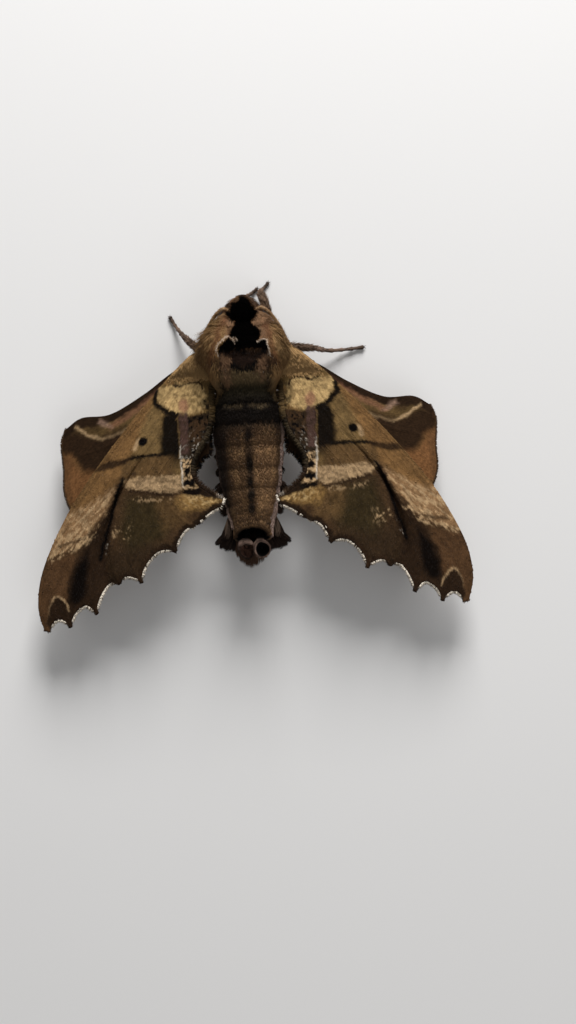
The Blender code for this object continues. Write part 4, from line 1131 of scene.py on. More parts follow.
def forewing_colours(p, seed):
    """The markings of a forewing at points of its plan."""
    tones = WING_PIGMENTS
    wander = np.column_stack([cloud(p, 0.7, seed), cloud(p, 0.7, seed + 1)])
    fine = np.column_stack([cloud(p, 0.22, seed + 2, 2), cloud(p, 0.22, seed + 3, 2)])
    q = p + 0.09 * wander + 0.07 * fine
    ragged = q + 0.11 * fine
    x, y = q.T
    mottle = cloud(p, 0.35, seed + 4)
    broad = cloud(p, 1.6, seed + 5)
    painted = Painted(np.tile(tones["olive tan"], (len(p), 1)))
    lay = painted.lay

    lay(patch(q, ((11, 0.5), (20, -2), (30, -8), (30, -24), (2, -24), (2, -4), (8, -4)), 0.8),
        "brown")
    lay(patch(q, ((15.5, -4.6), (16.6, -9), (15.5, -12), (11, -10), (9.5, -7.5), (10.5, -5)), 1.0),
        "dark olive")
    lay(0.8 * patch(q, ((8, -4.6), (12, -5.2), (11.5, -7.5), (11, -9), (8, -8.5)), 0.8), "dun")
    lay(0.75 * patch(q, ((9, -11), (13, -10.6), (18.2, -11), (19, -15), (19.5, -20), (12, -17),
                         (8, -12)), 1.2), "field")
    lay(patch(q, ((22.3, -11), (26.2, -12), (28.5, -17), (27.5, -22), (24.5, -22), (23, -16)), 0.5),
        "apex")
    lay(patch(q, ((17.0, -4.6), (19.2, -7.7), (21.8, -11.0), (23.4, -14), (23.9, -17), (23.9, -21),
                  (19.5, -20), (18.3, -15), (18.6, -12), (17.4, -8)), 0.35), "dark brown")
    lay(0.9 * patch(q, ((20.6, -10.8), (22.3, -12.9), (23.3, -15.5), (23.5, -17.3), (22.2, -17.6),
                        (21.2, -16.0), (21.0, -13.5)), 0.45), "black")
    lay(patch(q, ((10.9, 8.9), (14.5, 5.2), (19.3, -0.8), (24, -6.6), (22.8, -8.2), (16.2, -2.2),
                  (14.7, 0.5), (12.7, 4.5)), 0.5), "costal tan")
    for shift in (0.5, 1.05, 1.6):
        lay(0.4 * stripe(q, ((11.2 - shift * 0.4, 8.6 - shift * 0.9), (14.6, 4.9 - shift),
                             (19.0, -0.3 - shift), (22.5, -4.8 - shift)), 0.16, 0.14), "brown")
    streaks = ease(0.05, 0.75, mottle + 0.5 * cloud(p, (0.9, 0.3), seed + 6))
    turned = p @ np.array(((0.75, 0.66), (-0.66, 0.75)))
    grain = ease(-0.2, 0.5, cloud(turned, (0.9, 0.2), seed + 13) + 0.4 * mottle)
    fan = patch(ragged, ((16.9, -3.3), (20, -5.0), (23.6, -6.4), (26.4, -11.2), (24.5, -11.0),
                         (21.5, -9.7), (18.4, -6.5)), 0.5)
    lay(0.85 * fan, tones["tan"] * 1.15)
    lay(fan * (0.25 + 0.65 * grain), "cream")
    lay(0.85 * stripe(q, ((18.5, -6.7), (19.9, -8.3), (21.4, -9.4), (24.5, -10.1)), 0.42, 0.2),
        "brown")
    lay(grain * stripe(ragged, ((19.4, -8.1), (20.6, -9.3), (22.5, -10.4), (26.0, -11.6)), 0.75,
                       0.3), "cream")
    lay(patch(q, ((8.6, 5.2), (10.2, 5.3), (10.8, 4.2), (11.1, 2.5), (11.1, 0.4), (10.8, -2.0),
                  (8.6, -2.0), (8.4, 0.5)), 0.3) * ease(-2.4, 0.3, y), "panel")
    lay(0.9 * patch(q, ((8.6, 0.2), (16, -0.2), (16.2, -2.4), (8.6, -2.4)), 0.3) *
        ease(8.6, 10.8, x), "dun")
    lay(0.85 * patch(q, ((11, 0.5), (13.8, 0.7), (13.6, 3.5), (11.8, 6.4), (10.8, 6)), 0.5), "cell")
    lay(stripe(q, ((10.4, 0.35), (12.5, 0.4), (14.3, 0.3), (15.6, 0.0)), 0.42, 0.16), "panel")
    lay(0.9 * patch(q, ((14.6, 0.35), (16.5, 0.1), (18.6, -0.2), (19.6, -1.1), (17.8, -1.0),
                        (15.6, -0.5)), 0.2), "dark brown")
    band = patch(ragged, ((8.5, -2.3), (11, -2.4), (14, -2.2), (16.2, -2.6), (15.3, -3.5),
                          (13.5, -4.0), (11.2, -4.3), (9.2, -4.5), (8.4, -4.0)), 0.2)
    lay(band * (0.45 + 0.45 * ease(-0.5, 0.3, cloud(p, (0.5, 0.28), seed + 14))), "cream")
    lay(0.8 * stripe(q, ((9.0, -4.75), (10.5, -4.75), (13.0, -4.25), (15.0, -3.9)), 0.28, 0.12),
        "dark brown")
    lay(0.6 * streaks * stripe(q, ((10.0, -5.2), (12.5, -5.15), (14.6, -4.9)), 0.6, 0.25), "cream")
    lay(0.7 * ease(0.2, 0.9, mottle) * patch(q, ((15.2, -8), (17.4, -8.2), (17.6, -9.8),
                                                (15.4, -10)), 0.5), "cream")
    lay(stripe(q, ((15.8, -2.3), (16.2, -3.0), (16.8, -4.5), (17.3, -6), (17.8, -7.5), (18.3, -9),
                   (18.9, -10.6), (19.3, -12.2)), 0.42, 0.18), "black")
    lay(0.8 * ease(0.3, 0.8, mottle) * stripe(q, ((17.9, -9.4), (18.3, -10.4), (18.8, -11.6)), 0.22),
        "white")
    lay(0.8 * stripe(q, ((13.8, 2.3), (14.05, 1.8), (14.2, 1.3)), 0.5, 0.2), "cream")
    from_spot = p - (13.15, 2.15)
    along = from_spot @ np.array((0.75, -0.66)) / 0.68
    over = from_spot @ np.array((0.66, 0.75)) / 0.53
    lay(1 - ease(0.8, 1.1, np.hypot(along, over)), "black")
    lay(1 - ease(0.15, 0.35, np.hypot(x - 14.5, y + 1.8)), "brown")
    arch = ((23.5, -18.4), (23.9, -17.5), (24.5, -16.7), (25.1, -16.4), (25.6, -16.7),
            (26.0, -17.4), (26.3, -18.4), (26.6, -19.8))
    lay(patch(q, (*arch, (26.0, -20.8), (23.4, -20.6)), 0.15), "dark brown")
    lay((0.75 - 0.55 * ease(25.4, 26.2, x)) * ease(-19.6, -17.8, y) * stripe(q, arch, 0.22, 0.1),
        "cream")

    root = patch(q, ((3, 14), (9.2, 12), (11.4, 8.6), (11.0, 6.9), (8.7, 5.2), (8.5, -4.2),
                     (3, -4.2)), 0.2)
    hairs = cloud(p, (0.35, 1.4), seed + 7)
    lay(root, "olive tan")
    lay(0.6 * root * ease(0.0, 0.7, hairs), "costal tan")
    pale = patch(ragged, ((5.2, 8.3), (6.2, 9.1), (9.2, 8.9), (10.9, 8.6), (11.1, 7.6), (10.4, 6.4),
                     (8.9, 5.2), (7.0, 5.0), (5.2, 5.6), (4.9, 7.0)), 0.25)
    lay(pale * (0.65 + 0.35 * ease(-0.5, 0.5, mottle)), "yellow cream")
    lay(0.6 * pale * ease(9.0, 6.5, x) * ease(0.1, 0.6, cloud(p, 0.45, seed + 9)), "olive tan")
    lay(0.8 * patch(q, ((3.6, 9.0), (5.6, 8.4), (5.6, 6.2), (5.2, 5.0), (3.6, 4.6)), 0.4) *
        ease(-0.4, 0.4, cloud(p, 0.6, seed + 10)), "grey green")
    lay(0.8 * patch(q, ((3.6, 7.6), (5.4, 7.0), (5.2, 5.0), (3.6, 4.6)), 0.3) *
        ease(0.1, 0.5, cloud(p, 0.4, seed + 11)), "black")
    lay(0.75 * (1 - ease(0.5, 1.1, np.hypot((x - 7.9) / 0.8, (y - 6.2) / 1.1))), "pink")
    lay(stripe(q, ((5.5, 8.2), (5.7, 8.8), (6.5, 9.0), (7.5, 8.85), (8.4, 8.65), (9.1, 8.95)), 0.26,
               0.1), "dark brown")
    lay(0.6 * stripe(q, ((6.2, 7.5), (7.2, 7.4), (8.5, 7.6), (9.6, 7.8)), 0.16, 0.1), "rust")
    strip = patch(q, ((4.4, 5.2), (7.0, 4.8), (8.6, 5.0), (8.5, 0), (8.4, -1.4), (6.5, -1.0),
                      (4.4, 1.0)), 0.15)
    lay(strip, "field")
    lay(0.45 * strip * ease(0.0, 0.5, cloud(p, 0.8, seed + 12)) * ease(0.5, 2.5, y), "apex")
    lay(strip * ease(0.0, 0.45, mottle + 0.5 * broad), "black")
    lay(0.4 * strip * ease(0.4, 0.9, cloud(p, 0.25, seed + 8)) * ease(3.5, 1.0, y), "white")
    lay(patch(q, ((7.4, 5.4), (8.5, 5.2), (8.45, 0), (7.4, 0.2)), 0.18) *
        (0.6 + 0.4 * ease(-0.4, 0.4, mottle)), "lilac")
    spots = patch(q, ((6.8, -0.5), (8.5, -0.5), (8.5, -4.1), (6.6, -4.1), (7.0, -2.4)), 0.15)
    lay(0.8 * spots, "field")
    lay(spots * ease(-0.35, 0.15, cloud(p, 0.28, seed + 15)), "cream")
    lay(stripe(q, ((6.3, 0.6), (7.0, -0.8), (7.05, -2.3), (6.6, -3.5)), 0.35, 0.15), "panel")
    for spot_x, spot_y, half_x, half_y in ((7.8, -2.0, 0.55, 0.5), (7.55, -3.42, 0.85, 0.45)):
        reach = np.hypot((ragged[:, 0] - spot_x) / half_x, (ragged[:, 1] - spot_y) / half_y)
        lay(1 - ease(0.75, 1.1, reach), "black")
    lay(0.6 * stripe(q, ((8.45, 1.2), (8.42, -2.0), (8.35, -4.0)), 0.16, 0.08), "white")
    lay(stripe(q, ((11.15, 8.7), (11.3, 7.6), (11.4, 6.9), (10.7, 6.2), (10.0, 5.6), (8.8, 5.1)),
               0.62, 0.14), "panel")

    speckle = cloud(p, 0.24, seed + 17, 2)
    hook = patch(ragged, ((3.7, -5.8), (5.6, -5.2), (8.5, -4.8), (9.4, -5.6), (8.6, -7.0),
                          (6.8, -6.9), (4.6, -6.5)), 0.5)
    lay(0.9 * hook, "golden")
    lay(hook * ease(-0.3, 0.5, speckle) * ease(9.3, 6.5, x) * ease(-6.9, -6.0, y), "yellow cream")
    lay(0.6 * hook * ease(0.1, 0.7, mottle), "brown")
    lay(patch(q, ((3.2, -5.9), (4.6, -4.9), (6.4, -3.9), (7.2, -4.3), (8.4, -4.2), (8.3, -4.75),
                  (6.3, -5.15), (4.7, -5.6)), 0.14), tones["dark brown"] * 0.75)
    lay(0.8 * patch(ragged, ((5.9, -4.4), (7.2, -4.25), (8.4, -4.2), (8.2, -4.8), (6.6, -5.0)), 0.2),
        "black")
    lay(0.8 * stripe(q, ((6.4, -4.2), (7.2, -4.1), (8.3, -4.05)), 0.16, 0.07), "cream")
    edge, _ = nearest_on(p, forewing_rim)
    edge = edge + 0.12 * speckle
    lay(0.9 * (1 - ease(0.35, 0.75, edge)) * ease(-5.8, -6.2, y) * ease(24.5, 22.0, x),
        tones["dark brown"] * (0.55 + 0.45 * ease(9.0, 14.0, x))[:, None])
    from_root = p - (3.0, 13.0)
    around = np.column_stack([
        np.hypot(*from_root.T), 18 * np.arctan2(from_root[:, 1], from_root[:, 0]),
    ])
    hairy = cloud(around, (1.5, 0.16), seed + 16)
    uneven = 0.16 * mottle + 0.1 * broad + 0.13 * hairy + 0.09 * speckle
    return painted.colours * (1 + uneven)[:, None]


def underside(colours):
    """The plainer, paler markings of a wing's lower face."""
    return colours * 0.35 + WING_PIGMENTS["tan"] * 0.6


def vein_relief(plan, share, corners):
    """How much each point of a wing lies on a vein: 1 on its ridge, 0 beside it. Veins run
    along the wing's lines to the corners of its margin."""
    reached = np.concatenate([[0], np.cumsum(np.linalg.norm(np.diff(corners, axis=0), axis=1))])
    relief = np.zeros(plan.shape[:2])
    columns = np.arange(len(share))
    for vein in reached[1:-1] / reached[-1]:
        at = np.interp(vein, share, columns)
        near = int(at)
        ridge = plan[near] * (near + 1 - at) + plan[near + 1] * (at - near)
        away = np.linalg.norm(plan - ridge[None], axis=-1)
        relief = np.maximum(relief, np.exp(-((away / (VEIN_WIDTH / 2)) ** 2)))
    rise = ease(0.03, 0.2, np.linspace(0, 1, plan.shape[1]))
    return relief * rise


def wing_piece(name, side, plan, share, corners, height, slope, hollows, colours, waves):
    """A wing of one side: a thin sheet with veins, trimmed to its margin."""
    columns, rows = plan.shape[:2]
    relief = vein_relief(plan, share, corners).ravel()
    flat, faces, whole = trimmed(plan.reshape(-1, 2), grid_faces(columns, rows), hollows)
    across = np.repeat(share, rows)
    along = np.tile(np.linspace(0, 1, rows), columns)
    moved = swept(flat, slope)
    z = height(moved, across, along) + waves * cloud(flat, (1.6, 2.4), 51 + side)
    middle = np.column_stack([side * moved[:, 0], moved[:, 1], z])
    middle[:, 0] -= side * ROOT_TUCK[0] * (1 - ease(0.0, ROOT_TUCK[1], along))
    lift = np.column_stack([np.zeros_like(z), np.zeros_like(z), np.full_like(z, MEMBRANE / 2)])
    upper = middle + lift * (1 + relief * VEIN_RISE * 2 / MEMBRANE)[:, None]
    lower = middle - lift * (1 + 0.6 * relief * VEIN_RISE * 2 / MEMBRANE)[:, None]
    width = np.linalg.norm(plan[-1, -1] - plan[0, -1]) * 1.3
    length = np.linalg.norm(np.diff(plan, axis=1), axis=-1)
    travelled = np.concatenate([np.zeros((columns, 1)), np.cumsum(length, axis=1)], 1)
    lies = np.column_stack([across * width / SCALE_ROWS[0], travelled.ravel() / SCALE_ROWS[1],
                            np.full(len(z), 10.0 * side)])
    piece = sheet(name, upper, lower, faces, colours, underside(colours), lies)
    return piece, (upper.reshape(columns, rows, 3), colours.reshape(columns, rows, 3),
                   whole.reshape(columns - 1, rows - 1))


wing_scales = scaled_material("wing_scales", 1.0, 0.42, 0.014, 0.85, gloss=0.05, rows=True)
forewing_corners = np.array([FOREWING_COSTA[-1], *FOREWING_TEETH, FOREWING_DORSUM[-1]])
forewing_plan, forewing_share = wing_plan(
    FOREWING_COSTA, FOREWING_DORSUM, forewing_corners, WING_COLUMNS, WING_ROWS,
)


def forewing_height(plan, across, along):
    """The wings' arch, with the fold that runs to the margin behind the wing's tip."""
    fold = np.exp(-(((across - CREASE_COLUMN) / CREASE_WIDTH) ** 2))
    return arch_height(plan) - CREASE_DEPTH * fold * np.clip((along - 0.35) / 0.3, 0, 1)


forewing_surfaces = {}
for label, side in SIDES.items():
    marks = forewing_colours(forewing_plan.reshape(-1, 2), 100 + 20 * side)
    wing, surface = wing_piece(
        f"forewing_{label}_scaled", side, forewing_plan, forewing_share, forewing_corners,
        forewing_height, FOREWING_SWEEP[label], forewing_hollows, marks, 0.05,
    )
    finish_piece(wing, wing_scales, (f"forewing_{label}",))
    forewing_surfaces[label] = surface


# The hindwings: rounder and thinner, each under a forewing with only its front lobe standing out
# ahead of it, dark brown with a white bar and a fine short fringe.
HINDWING_DROP = 1.25
HINDWING_LOBE_DROOP = 1.3
HINDWING_SWEEP = {"left": 0.028, "right": -0.028}
HINDWING_COSTA = (
    (4.95, 10.7), (7.0, 11.3), (9.2, 10.6), (12.9, 8.15), (17.3, 6.0), (21.1, 5.85),
    (23.3, 4.65),
)
HINDWING_DORSUM = ((4.65, 7.8), (4.75, 4.0), (5.0, 0.0))
HINDWING_MARGIN = (
    (23.95, 2.7), (23.75, -0.8), (23.8, -3.5), (22.9, -6.0), (20.9, -8.2),
    (17.6, -9.8), (13.9, -9.7), (10.8, -8.1), (8.8, -5.4), (7.3, -2.6), (5.8, -0.3),
)
HINDWING_COLUMNS = 180
HINDWING_ROWS = 104


def hindwing_colours(p, seed):
    """The markings of a hindwing at points of its plan."""
    tones = WING_PIGMENTS
    q = p + 0.14 * np.column_stack([cloud(p, 0.6, seed), cloud(p, 0.6, seed + 1)])
    x, y = q.T
    mottle = cloud(p, 0.3, seed + 2)
    painted = Painted(np.tile(tones["olive tan"] * 0.8, (len(p), 1)))
    lay = painted.lay

    lay(patch(q, ((15.5, 4.4), (19, 3.2), (22, 4.4), (24.5, 4.0), (24.2, 1.2), (22.4, 0.6),
                  (21.2, -1.6), (19.4, -1.6), (18.0, 0.2), (15.5, 2.8)), 0.8),
        tones["dark brown"] * 1.2)
    lay(patch(q, ((19.6, -1.2), (21.4, -1.0), (22.6, 1.0), (24.5, 1.6), (24.5, -5.5), (21.5, -5),
                  (20.0, -3)), 0.7), tones["tan"] * (1.0, 0.93, 0.9))
    lay(0.5 * patch(q, ((22.6, 0.5), (24.5, 2.0), (24.5, -4.8), (22.9, -4.6), (23.1, -2)), 0.4),
        "rust")
    lay(stripe(q, ((6.5, 11.2), (9.8, 10.0), (13, 8.0), (16, 6.25), (18.2, 5.55), (21.5, 5.3),
                   (23.5, 4.3)), 1.5, 0.2), tones["dark brown"] * 0.85)
    lay(0.5 * stripe(q, ((10.6, 8.6), (12.5, 7.2), (15, 5.6), (17.4, 4.4)), 0.6, 0.3), "pink")
    lay(0.8 * stripe(q, ((19.3, 4.6), (21.6, 5.3)), 1.1, 0.5), "dark brown")
    lay(0.75 * patch(q, ((17.1, 4.2), (17.9, 5.0), (18.9, 5.5), (19.1, 5.0), (18.2, 4.4)), 0.3),
        "smear")
    lay((0.3 + 0.6 * ease(17.5, 20.5, x)) * stripe(q, (
        (15.3, 4.0), (16.7, 3.4), (18.3, 2.9), (19.6, 3.3), (20.6, 3.75), (21.3, 4.25),
        (22.0, 4.8)), 0.36, 0.16), "cream")
    inner = patch(q, ((3, 12), (8.5, 8), (9.5, 2), (9, -3), (4, -3)), 0.5)
    lay(inner, "grey green")
    lay(inner * ease(-0.1, 0.5, mottle), "black")
    lay(0.5 * inner * ease(0.5, 0.9, cloud(p, 0.3, seed + 3)), "white")
    lay(patch(q, ((4, 1.6), (9, 1.6), (9, -4), (4, -4)), 0.5), "dark brown")
    return painted.colours * (1 + 0.2 * mottle)[:, None]


def hindwing_height(plan, across, along):
    droop = HINDWING_LOBE_DROOP * along**2.2 * (1 - across)
    return arch_height(plan) - HINDWING_DROP - droop


hindwing_corners = np.array([HINDWING_COSTA[-1], *HINDWING_MARGIN, HINDWING_DORSUM[-1]])
hindwing_margin = smooth_path(hindwing_corners)
hindwing_plan, hindwing_share = wing_plan(
    HINDWING_COSTA, HINDWING_DORSUM, hindwing_margin, HINDWING_COLUMNS, HINDWING_ROWS,
)
hindwing_surfaces = {}
for label, side in SIDES.items():
    marks = hindwing_colours(hindwing_plan.reshape(-1, 2), 300 + 20 * side)
    wing, surface = wing_piece(
        f"hindwing_{label}_scaled", side, hindwing_plan, hindwing_share, hindwing_corners,
        hindwing_height, HINDWING_SWEEP[label], (), marks, 0.04,
    )
    finish_piece(wing, wing_scales, (f"hindwing_{label}",))
    hindwing_surfaces[label] = surface


# The wings' own coat: loose scales over both forewings, long hair over their roots, and a fringe
# along every free margin, pale in the hollows and dark and ragged on the teeth.
LEAF_SCALES = 8000
ROOT_HAIRS = 2600
FRINGE_TUFTS = 2400
CHART_REACH = 60.0  # millimetres of wing to one unit of the chart


def wing_roots(surface, mask, count, rng):
    """Random places on a wing's upper surface: point, way along the wing, the surface's facing,
    colour and chart."""
    grid, tones, whole = surface
    middles = (grid[:-1] + grid[1:]) / 2
    weight = mask(middles.reshape(-1, 3)).reshape(middles.shape[:2])
    weight[:, -1] = 0.0
    weight[:, :-1] *= whole
    i, j = scatter(grid, weight, count, rng)
    roots = read_grid(grid, i, j)
    along = unit(read_grid(np.gradient(grid, axis=1), i, j))
    over = unit(np.cross(along, read_grid(np.gradient(grid, axis=0), i, j)))
    over = over * np.sign(over[:, 2:])
    return roots, along, over, read_grid(tones, i, j), roots[:, :2] / CHART_REACH + 0.5


def loose_scales(surface, count, seed):
    """Flat loose scales all over a wing's upper face."""
    rng = np.random.default_rng(seed)
    roots, along, over, tones, charts = wing_roots(surface, everywhere, count, rng)
    along = unit(along + 0.16 * rng.normal(size=roots.shape) * (1, 1, 0.2))
    tones = tones * rng.uniform(0.74, 1.28, count)[:, None]
    return tufts(roots - over * ROOT_DEPTH, along, over, rng.uniform(0.22, 0.36, count),
                 rng.uniform(0.13, 0.2, count), rng.uniform(0.0, 0.045, count), tones, charts,
                 root_shade=0.97, tip_shade=1.03)


def fringe(side, path, slope, surface, tones_of, length_of, count, seed):
    """Short tufts out of a wing's margin. The path runs with the wing on its right hand."""
    rng = np.random.default_rng(seed)
    line, _ = spaced(path, count)
    heading = unit(np.gradient(line, axis=0))
    for k in (0, 1):
        heading[:, k] = softened(heading[:, k], 6, 0, False)
    outward = unit(np.column_stack([-heading[:, 1], heading[:, 0]]))
    moved = swept(line - outward * 0.12, slope)
    corners = surface[0].reshape(-1, 3)
    flat_tree = KDTree(len(corners))
    for index, point in enumerate(corners):
        flat_tree.insert((point[0], point[1], 0.0), index)
    flat_tree.balance()
    near = [flat_tree.find((side * x, y, 0.0))[1] for x, y in moved]
    roots = np.column_stack([side * moved[:, 0], moved[:, 1], corners[near, 2] - MEMBRANE / 2])
    lies = np.column_stack([side * outward[:, 0], outward[:, 1], np.full(count, -0.05)])
    lies = unit(lies + 0.28 * rng.normal(size=lies.shape) * (1, 1, 0.4))
    tones = tones_of(line, rng) * rng.uniform(0.8, 1.2, count)[:, None]
    lengths = length_of(line) * rng.uniform(0.65, 1.35, count) + 0.12
    upward = np.tile((0.0, 0.0, 1.0), (count, 1))
    return tufts(roots, lies, upward, lengths, rng.uniform(0.1, 0.17, count),
                 rng.uniform(-0.1, 0.1, count), tones, roots[:, :2] / CHART_REACH + 0.5,
                 root_shade=0.9)


forewing_edge = np.concatenate([
    [FOREWING_COSTA[-1]], *[line for line, _ in forewing_hollows], [FOREWING_TEETH[-1]],
    even_points(FOREWING_DORSUM, 60)[::-1],
])
tooth_points = np.array(FOREWING_TEETH)


def tooth_share(p):
    """1 on the teeth of the margin, 0 in the hollows between them."""
    away = np.linalg.norm(p[:, None, :] - tooth_points[None], axis=-1).min(axis=1)
    return 1 - ease(0.4, 1.0, away)


def forewing_fringe_tones(p, rng):
    tones = WING_PIGMENTS
    found = np.tile(tones["brown"], (len(p), 1))
    behind = 1 - ease(-6.2, -5.4, p[:, 1])
    pale = behind * (1 - tooth_share(p)) * (rng.random(len(p)) < 0.9)
    found = tint(found, pale, tones["white"])
    found = tint(found, tooth_share(p) * 0.9, tones["dark brown"])
    dotted = (cloud(p, 0.36, 501, 1) > -0.25) * ease(-5.5, -5.7, p[:, 1])
    found = tint(found, (1 - dotted) * ease(9.5, 8.5, p[:, 0]) * behind, tones["dark brown"])
    found = tint(found, dotted * ease(9.5, 8.0, p[:, 0]), tones["white"])
    inner = ease(-3.0, -1.5, p[:, 1])
    found = tint(found, ease(-5.6, -5.1, p[:, 1]), tones["dark brown"])
    found = tint(found, inner, tones["grey green"])
    found = tint(found, inner * ease(-0.4, 0.8, cloud(p, 0.8, 502, 2)), tones["black"])
    root = ease(3.5, 4.5, p[:, 1])
    return tint(found, root * (0.3 + 0.5 * ease(-0.2, 0.6, cloud(p, 0.9, 503, 2))),
                tones["olive tan"])


def forewing_fringe_lengths(p):
    y = p[:, 1]
    dorsum = 0.3 * ease(-5.9, -5.2, y) + 0.35 * ease(3.0, 5.0, y)
    near_hook = ease(6.5, 4.5, p[:, 0])
    return 0.38 - 0.26 * (1 - near_hook) * tooth_share(p) * ease(-5.2, -5.9, y) + dorsum


def hindwing_fringe_tones(p, rng):
    found = np.tile(WING_PIGMENTS["brown"], (len(p), 1))
    return tint(found, ease(9.0, 8.0, p[:, 0]) * (rng.random(len(p)) < 0.7), WING_PIGMENTS["black"])


hindwing_edge = np.concatenate([hindwing_margin, even_points(HINDWING_DORSUM, 20)[::-1]])
for label, side in SIDES.items():
    surface = forewing_surfaces[label]
    coat_piece(f"forewing_{label}_scales", [
        loose_scales(surface, LEAF_SCALES, 520 + side),
    ], hair)
    coat_piece(f"forewing_{label}_fringe", [
        fringe(side, forewing_edge, FOREWING_SWEEP[label], surface, forewing_fringe_tones,
               forewing_fringe_lengths, FRINGE_TUFTS, 530 + side),
    ], hair)
    rng = np.random.default_rng(540 + side)
    roots, _, over, tones, charts = wing_roots(
        surface, lambda p: ease(9.3, 10.4, p[:, 1]) * ease(9.8, 7.6, np.abs(p[:, 0])), ROOT_HAIRS,
        rng,
    )
    lies = unit(np.array([side * 0.55, -1.0, 0.0]) + 0.14 * rng.normal(size=roots.shape))
    lies = unit(lies - over * np.sum(lies * over, axis=1, keepdims=True))
    silky = tint(tones, np.full(len(tones), 0.75), BODY_PIGMENTS["pale tan"] * 1.3)
    coat_piece(f"wing_root_{label}_hair", [
        tufts(roots - over * ROOT_DEPTH, lies, over,
              rng.uniform(0.8, 1.2, ROOT_HAIRS) * (0.55 + 1.1 * ease(9.8, 12.0, roots[:, 1])),
              rng.uniform(0.1, 0.17, ROOT_HAIRS), rng.uniform(0.06, 0.2, ROOT_HAIRS),
              silky * rng.uniform(0.85, 1.2, ROOT_HAIRS)[:, None], charts, "long",
              root_shade=0.88),
    ], hair)
    coat_piece(f"hindwing_{label}_fringe", [
        fringe(side, hindwing_edge, HINDWING_SWEEP[label], hindwing_surfaces[label],
               hindwing_fringe_tones, lambda p: 0.2 + 0.35 * ease(9.0, 7.0, p[:, 0]), 1500,
               550 + side),
    ], hair)


# The eyes: two large dark globes low on the sides of the head, each of thousands of tiny lenses,
# bare and glossy, held in the head's shell behind the roots of the palps.
EYE_RINGS = 64
EYE_SIDES = 96
LENS_WIDTH = 0.055


def eye_material():
    """Dark glossy lenses, raised in the normals, over a blotched brown-black ground."""
    material = bpy.data.materials.new("faceted_eye")
    material.use_nodes = True
    nodes, links = material.node_tree.nodes, material.node_tree.links
    shader = nodes["Principled BSDF"]
    shader.inputs["Roughness"].default_value = 0.32
    shader.inputs["Specular IOR Level"].default_value = 0.3
    place = nodes.new("ShaderNodeTexCoord")
    lenses = nodes.new("ShaderNodeTexVoronoi")
    lenses.inputs["Scale"].default_value = 1 / (LENS_WIDTH * MM)
    lenses.inputs["Randomness"].default_value = 0.35
    links.new(place.outputs["Object"], lenses.inputs["Vector"])
    blotch = nodes.new("ShaderNodeTexNoise")
    blotch.inputs["Scale"].default_value = 1 / (0.9 * MM)
    links.new(place.outputs["Object"], blotch.inputs["Vector"])
    ground = nodes.new("ShaderNodeValToRGB")
    ground.color_ramp.elements[0].position = 0.35
    ground.color_ramp.elements[0].color = (0.004, 0.003, 0.002, 1)
    ground.color_ramp.elements[1].position = 0.7
    ground.color_ramp.elements[1].color = (0.022, 0.011, 0.006, 1)
    links.new(blotch.outputs["Fac"], ground.inputs["Fac"])
    links.new(ground.outputs["Color"], shader.inputs["Base Color"])
    bump = nodes.new("ShaderNodeBump")
    bump.invert = True
    bump.inputs["Distance"].default_value = 0.012 * MM
    links.new(lenses.outputs["Distance"], bump.inputs["Height"])
    links.new(bump.outputs["Normal"], shader.inputs["Normal"])
    return material


faceted_eye = eye_material()
for label, side in SIDES.items():
    tilt = np.linspace(0, math.pi, EYE_RINGS + 2)[1:-1]
    centre = EYE_CENTRE * (side, 1, 1)
    turn = np.arange(EYE_SIDES) * 2 * math.pi / EYE_SIDES
    rings = np.stack([
        np.sin(tilt)[:, None] * np.cos(turn), -np.cos(tilt)[:, None] * np.ones(EYE_SIDES),
        -np.sin(tilt)[:, None] * np.sin(turn),
    ], -1) * EYE_RADIUS + centre
    poles = centre - (0, EYE_RADIUS, 0), centre + (0, EYE_RADIUS, 0)
    points, faces = closed_rings(rings, *poles)
    globe = add_mesh(f"eye_{label}_globe", points, faces, np.full((len(points), 3), 0.01))
    finish_piece(globe, faceted_eye, (f"eye_{label}",))


# The palps: two upturned feelers of three joints in front of the face, thickly clothed in tan
# scales that stand out ahead and hide the small tongue.
PALP_SIZE = 0.74  # share of the solid's width that is left under the coat
PALP = (
    (0.95, 16.9, 4.9, 0.6), (0.98, 17.7, 3.9, 0.72), (0.95, 18.6, 3.85, 0.7),
    (0.85, 19.05, 4.7, 0.55), (0.8, 19.1, 5.4, 0.3),
)


def limb_rings(joints, steps, sides, size=1.0):
    """Rings of points round a smooth line through joints, each a place and a radius. size
    changes the radius, and is a number or a function of the share of the length."""
    line = smooth_path(joints, steps)
    middles = line[:, :3]
    reach = line[:, 3] * (size(np.linspace(0, 1, len(line))) if callable(size) else size)
    along = unit(np.gradient(middles, axis=0))
    across = [unit(np.cross(along[0], (0.0, 0.0, 1.0)))]
    for heading in along[1:]:
        across.append(unit(across[-1] - heading * (across[-1] @ heading)))
    across = np.array(across)
    over = np.cross(along, across)
    turn = np.arange(sides) * 2 * math.pi / sides
    spokes = (np.cos(turn)[None, :, None] * across[:, None]
              + np.sin(turn)[None, :, None] * over[:, None])
    return middles[:, None] + spokes * reach[:, None, None]


def limb(rings):
    """The closed mesh of a limb's rings, with both ends rounded over."""
    front, back = rings[0].mean(axis=0), rings[-1].mean(axis=0)
    return closed_rings(rings, front, back + (back - rings[-2].mean(axis=0)) * 0.4)


def flipped(joints, side):
    return [(side * joint[0], *joint[1:]) for joint in joints]


def palp_colours(points):
    found = np.tile(BODY_PIGMENTS["tan"], (len(points), 1))
    found = tint(found, ease(0.0, 0.8, cloud(points, 0.5, 61)), BODY_PIGMENTS["rust"])
    return tint(found, 0.8 * ease(4.6, 5.4, points[:, 2]), BODY_PIGMENTS["umber"])


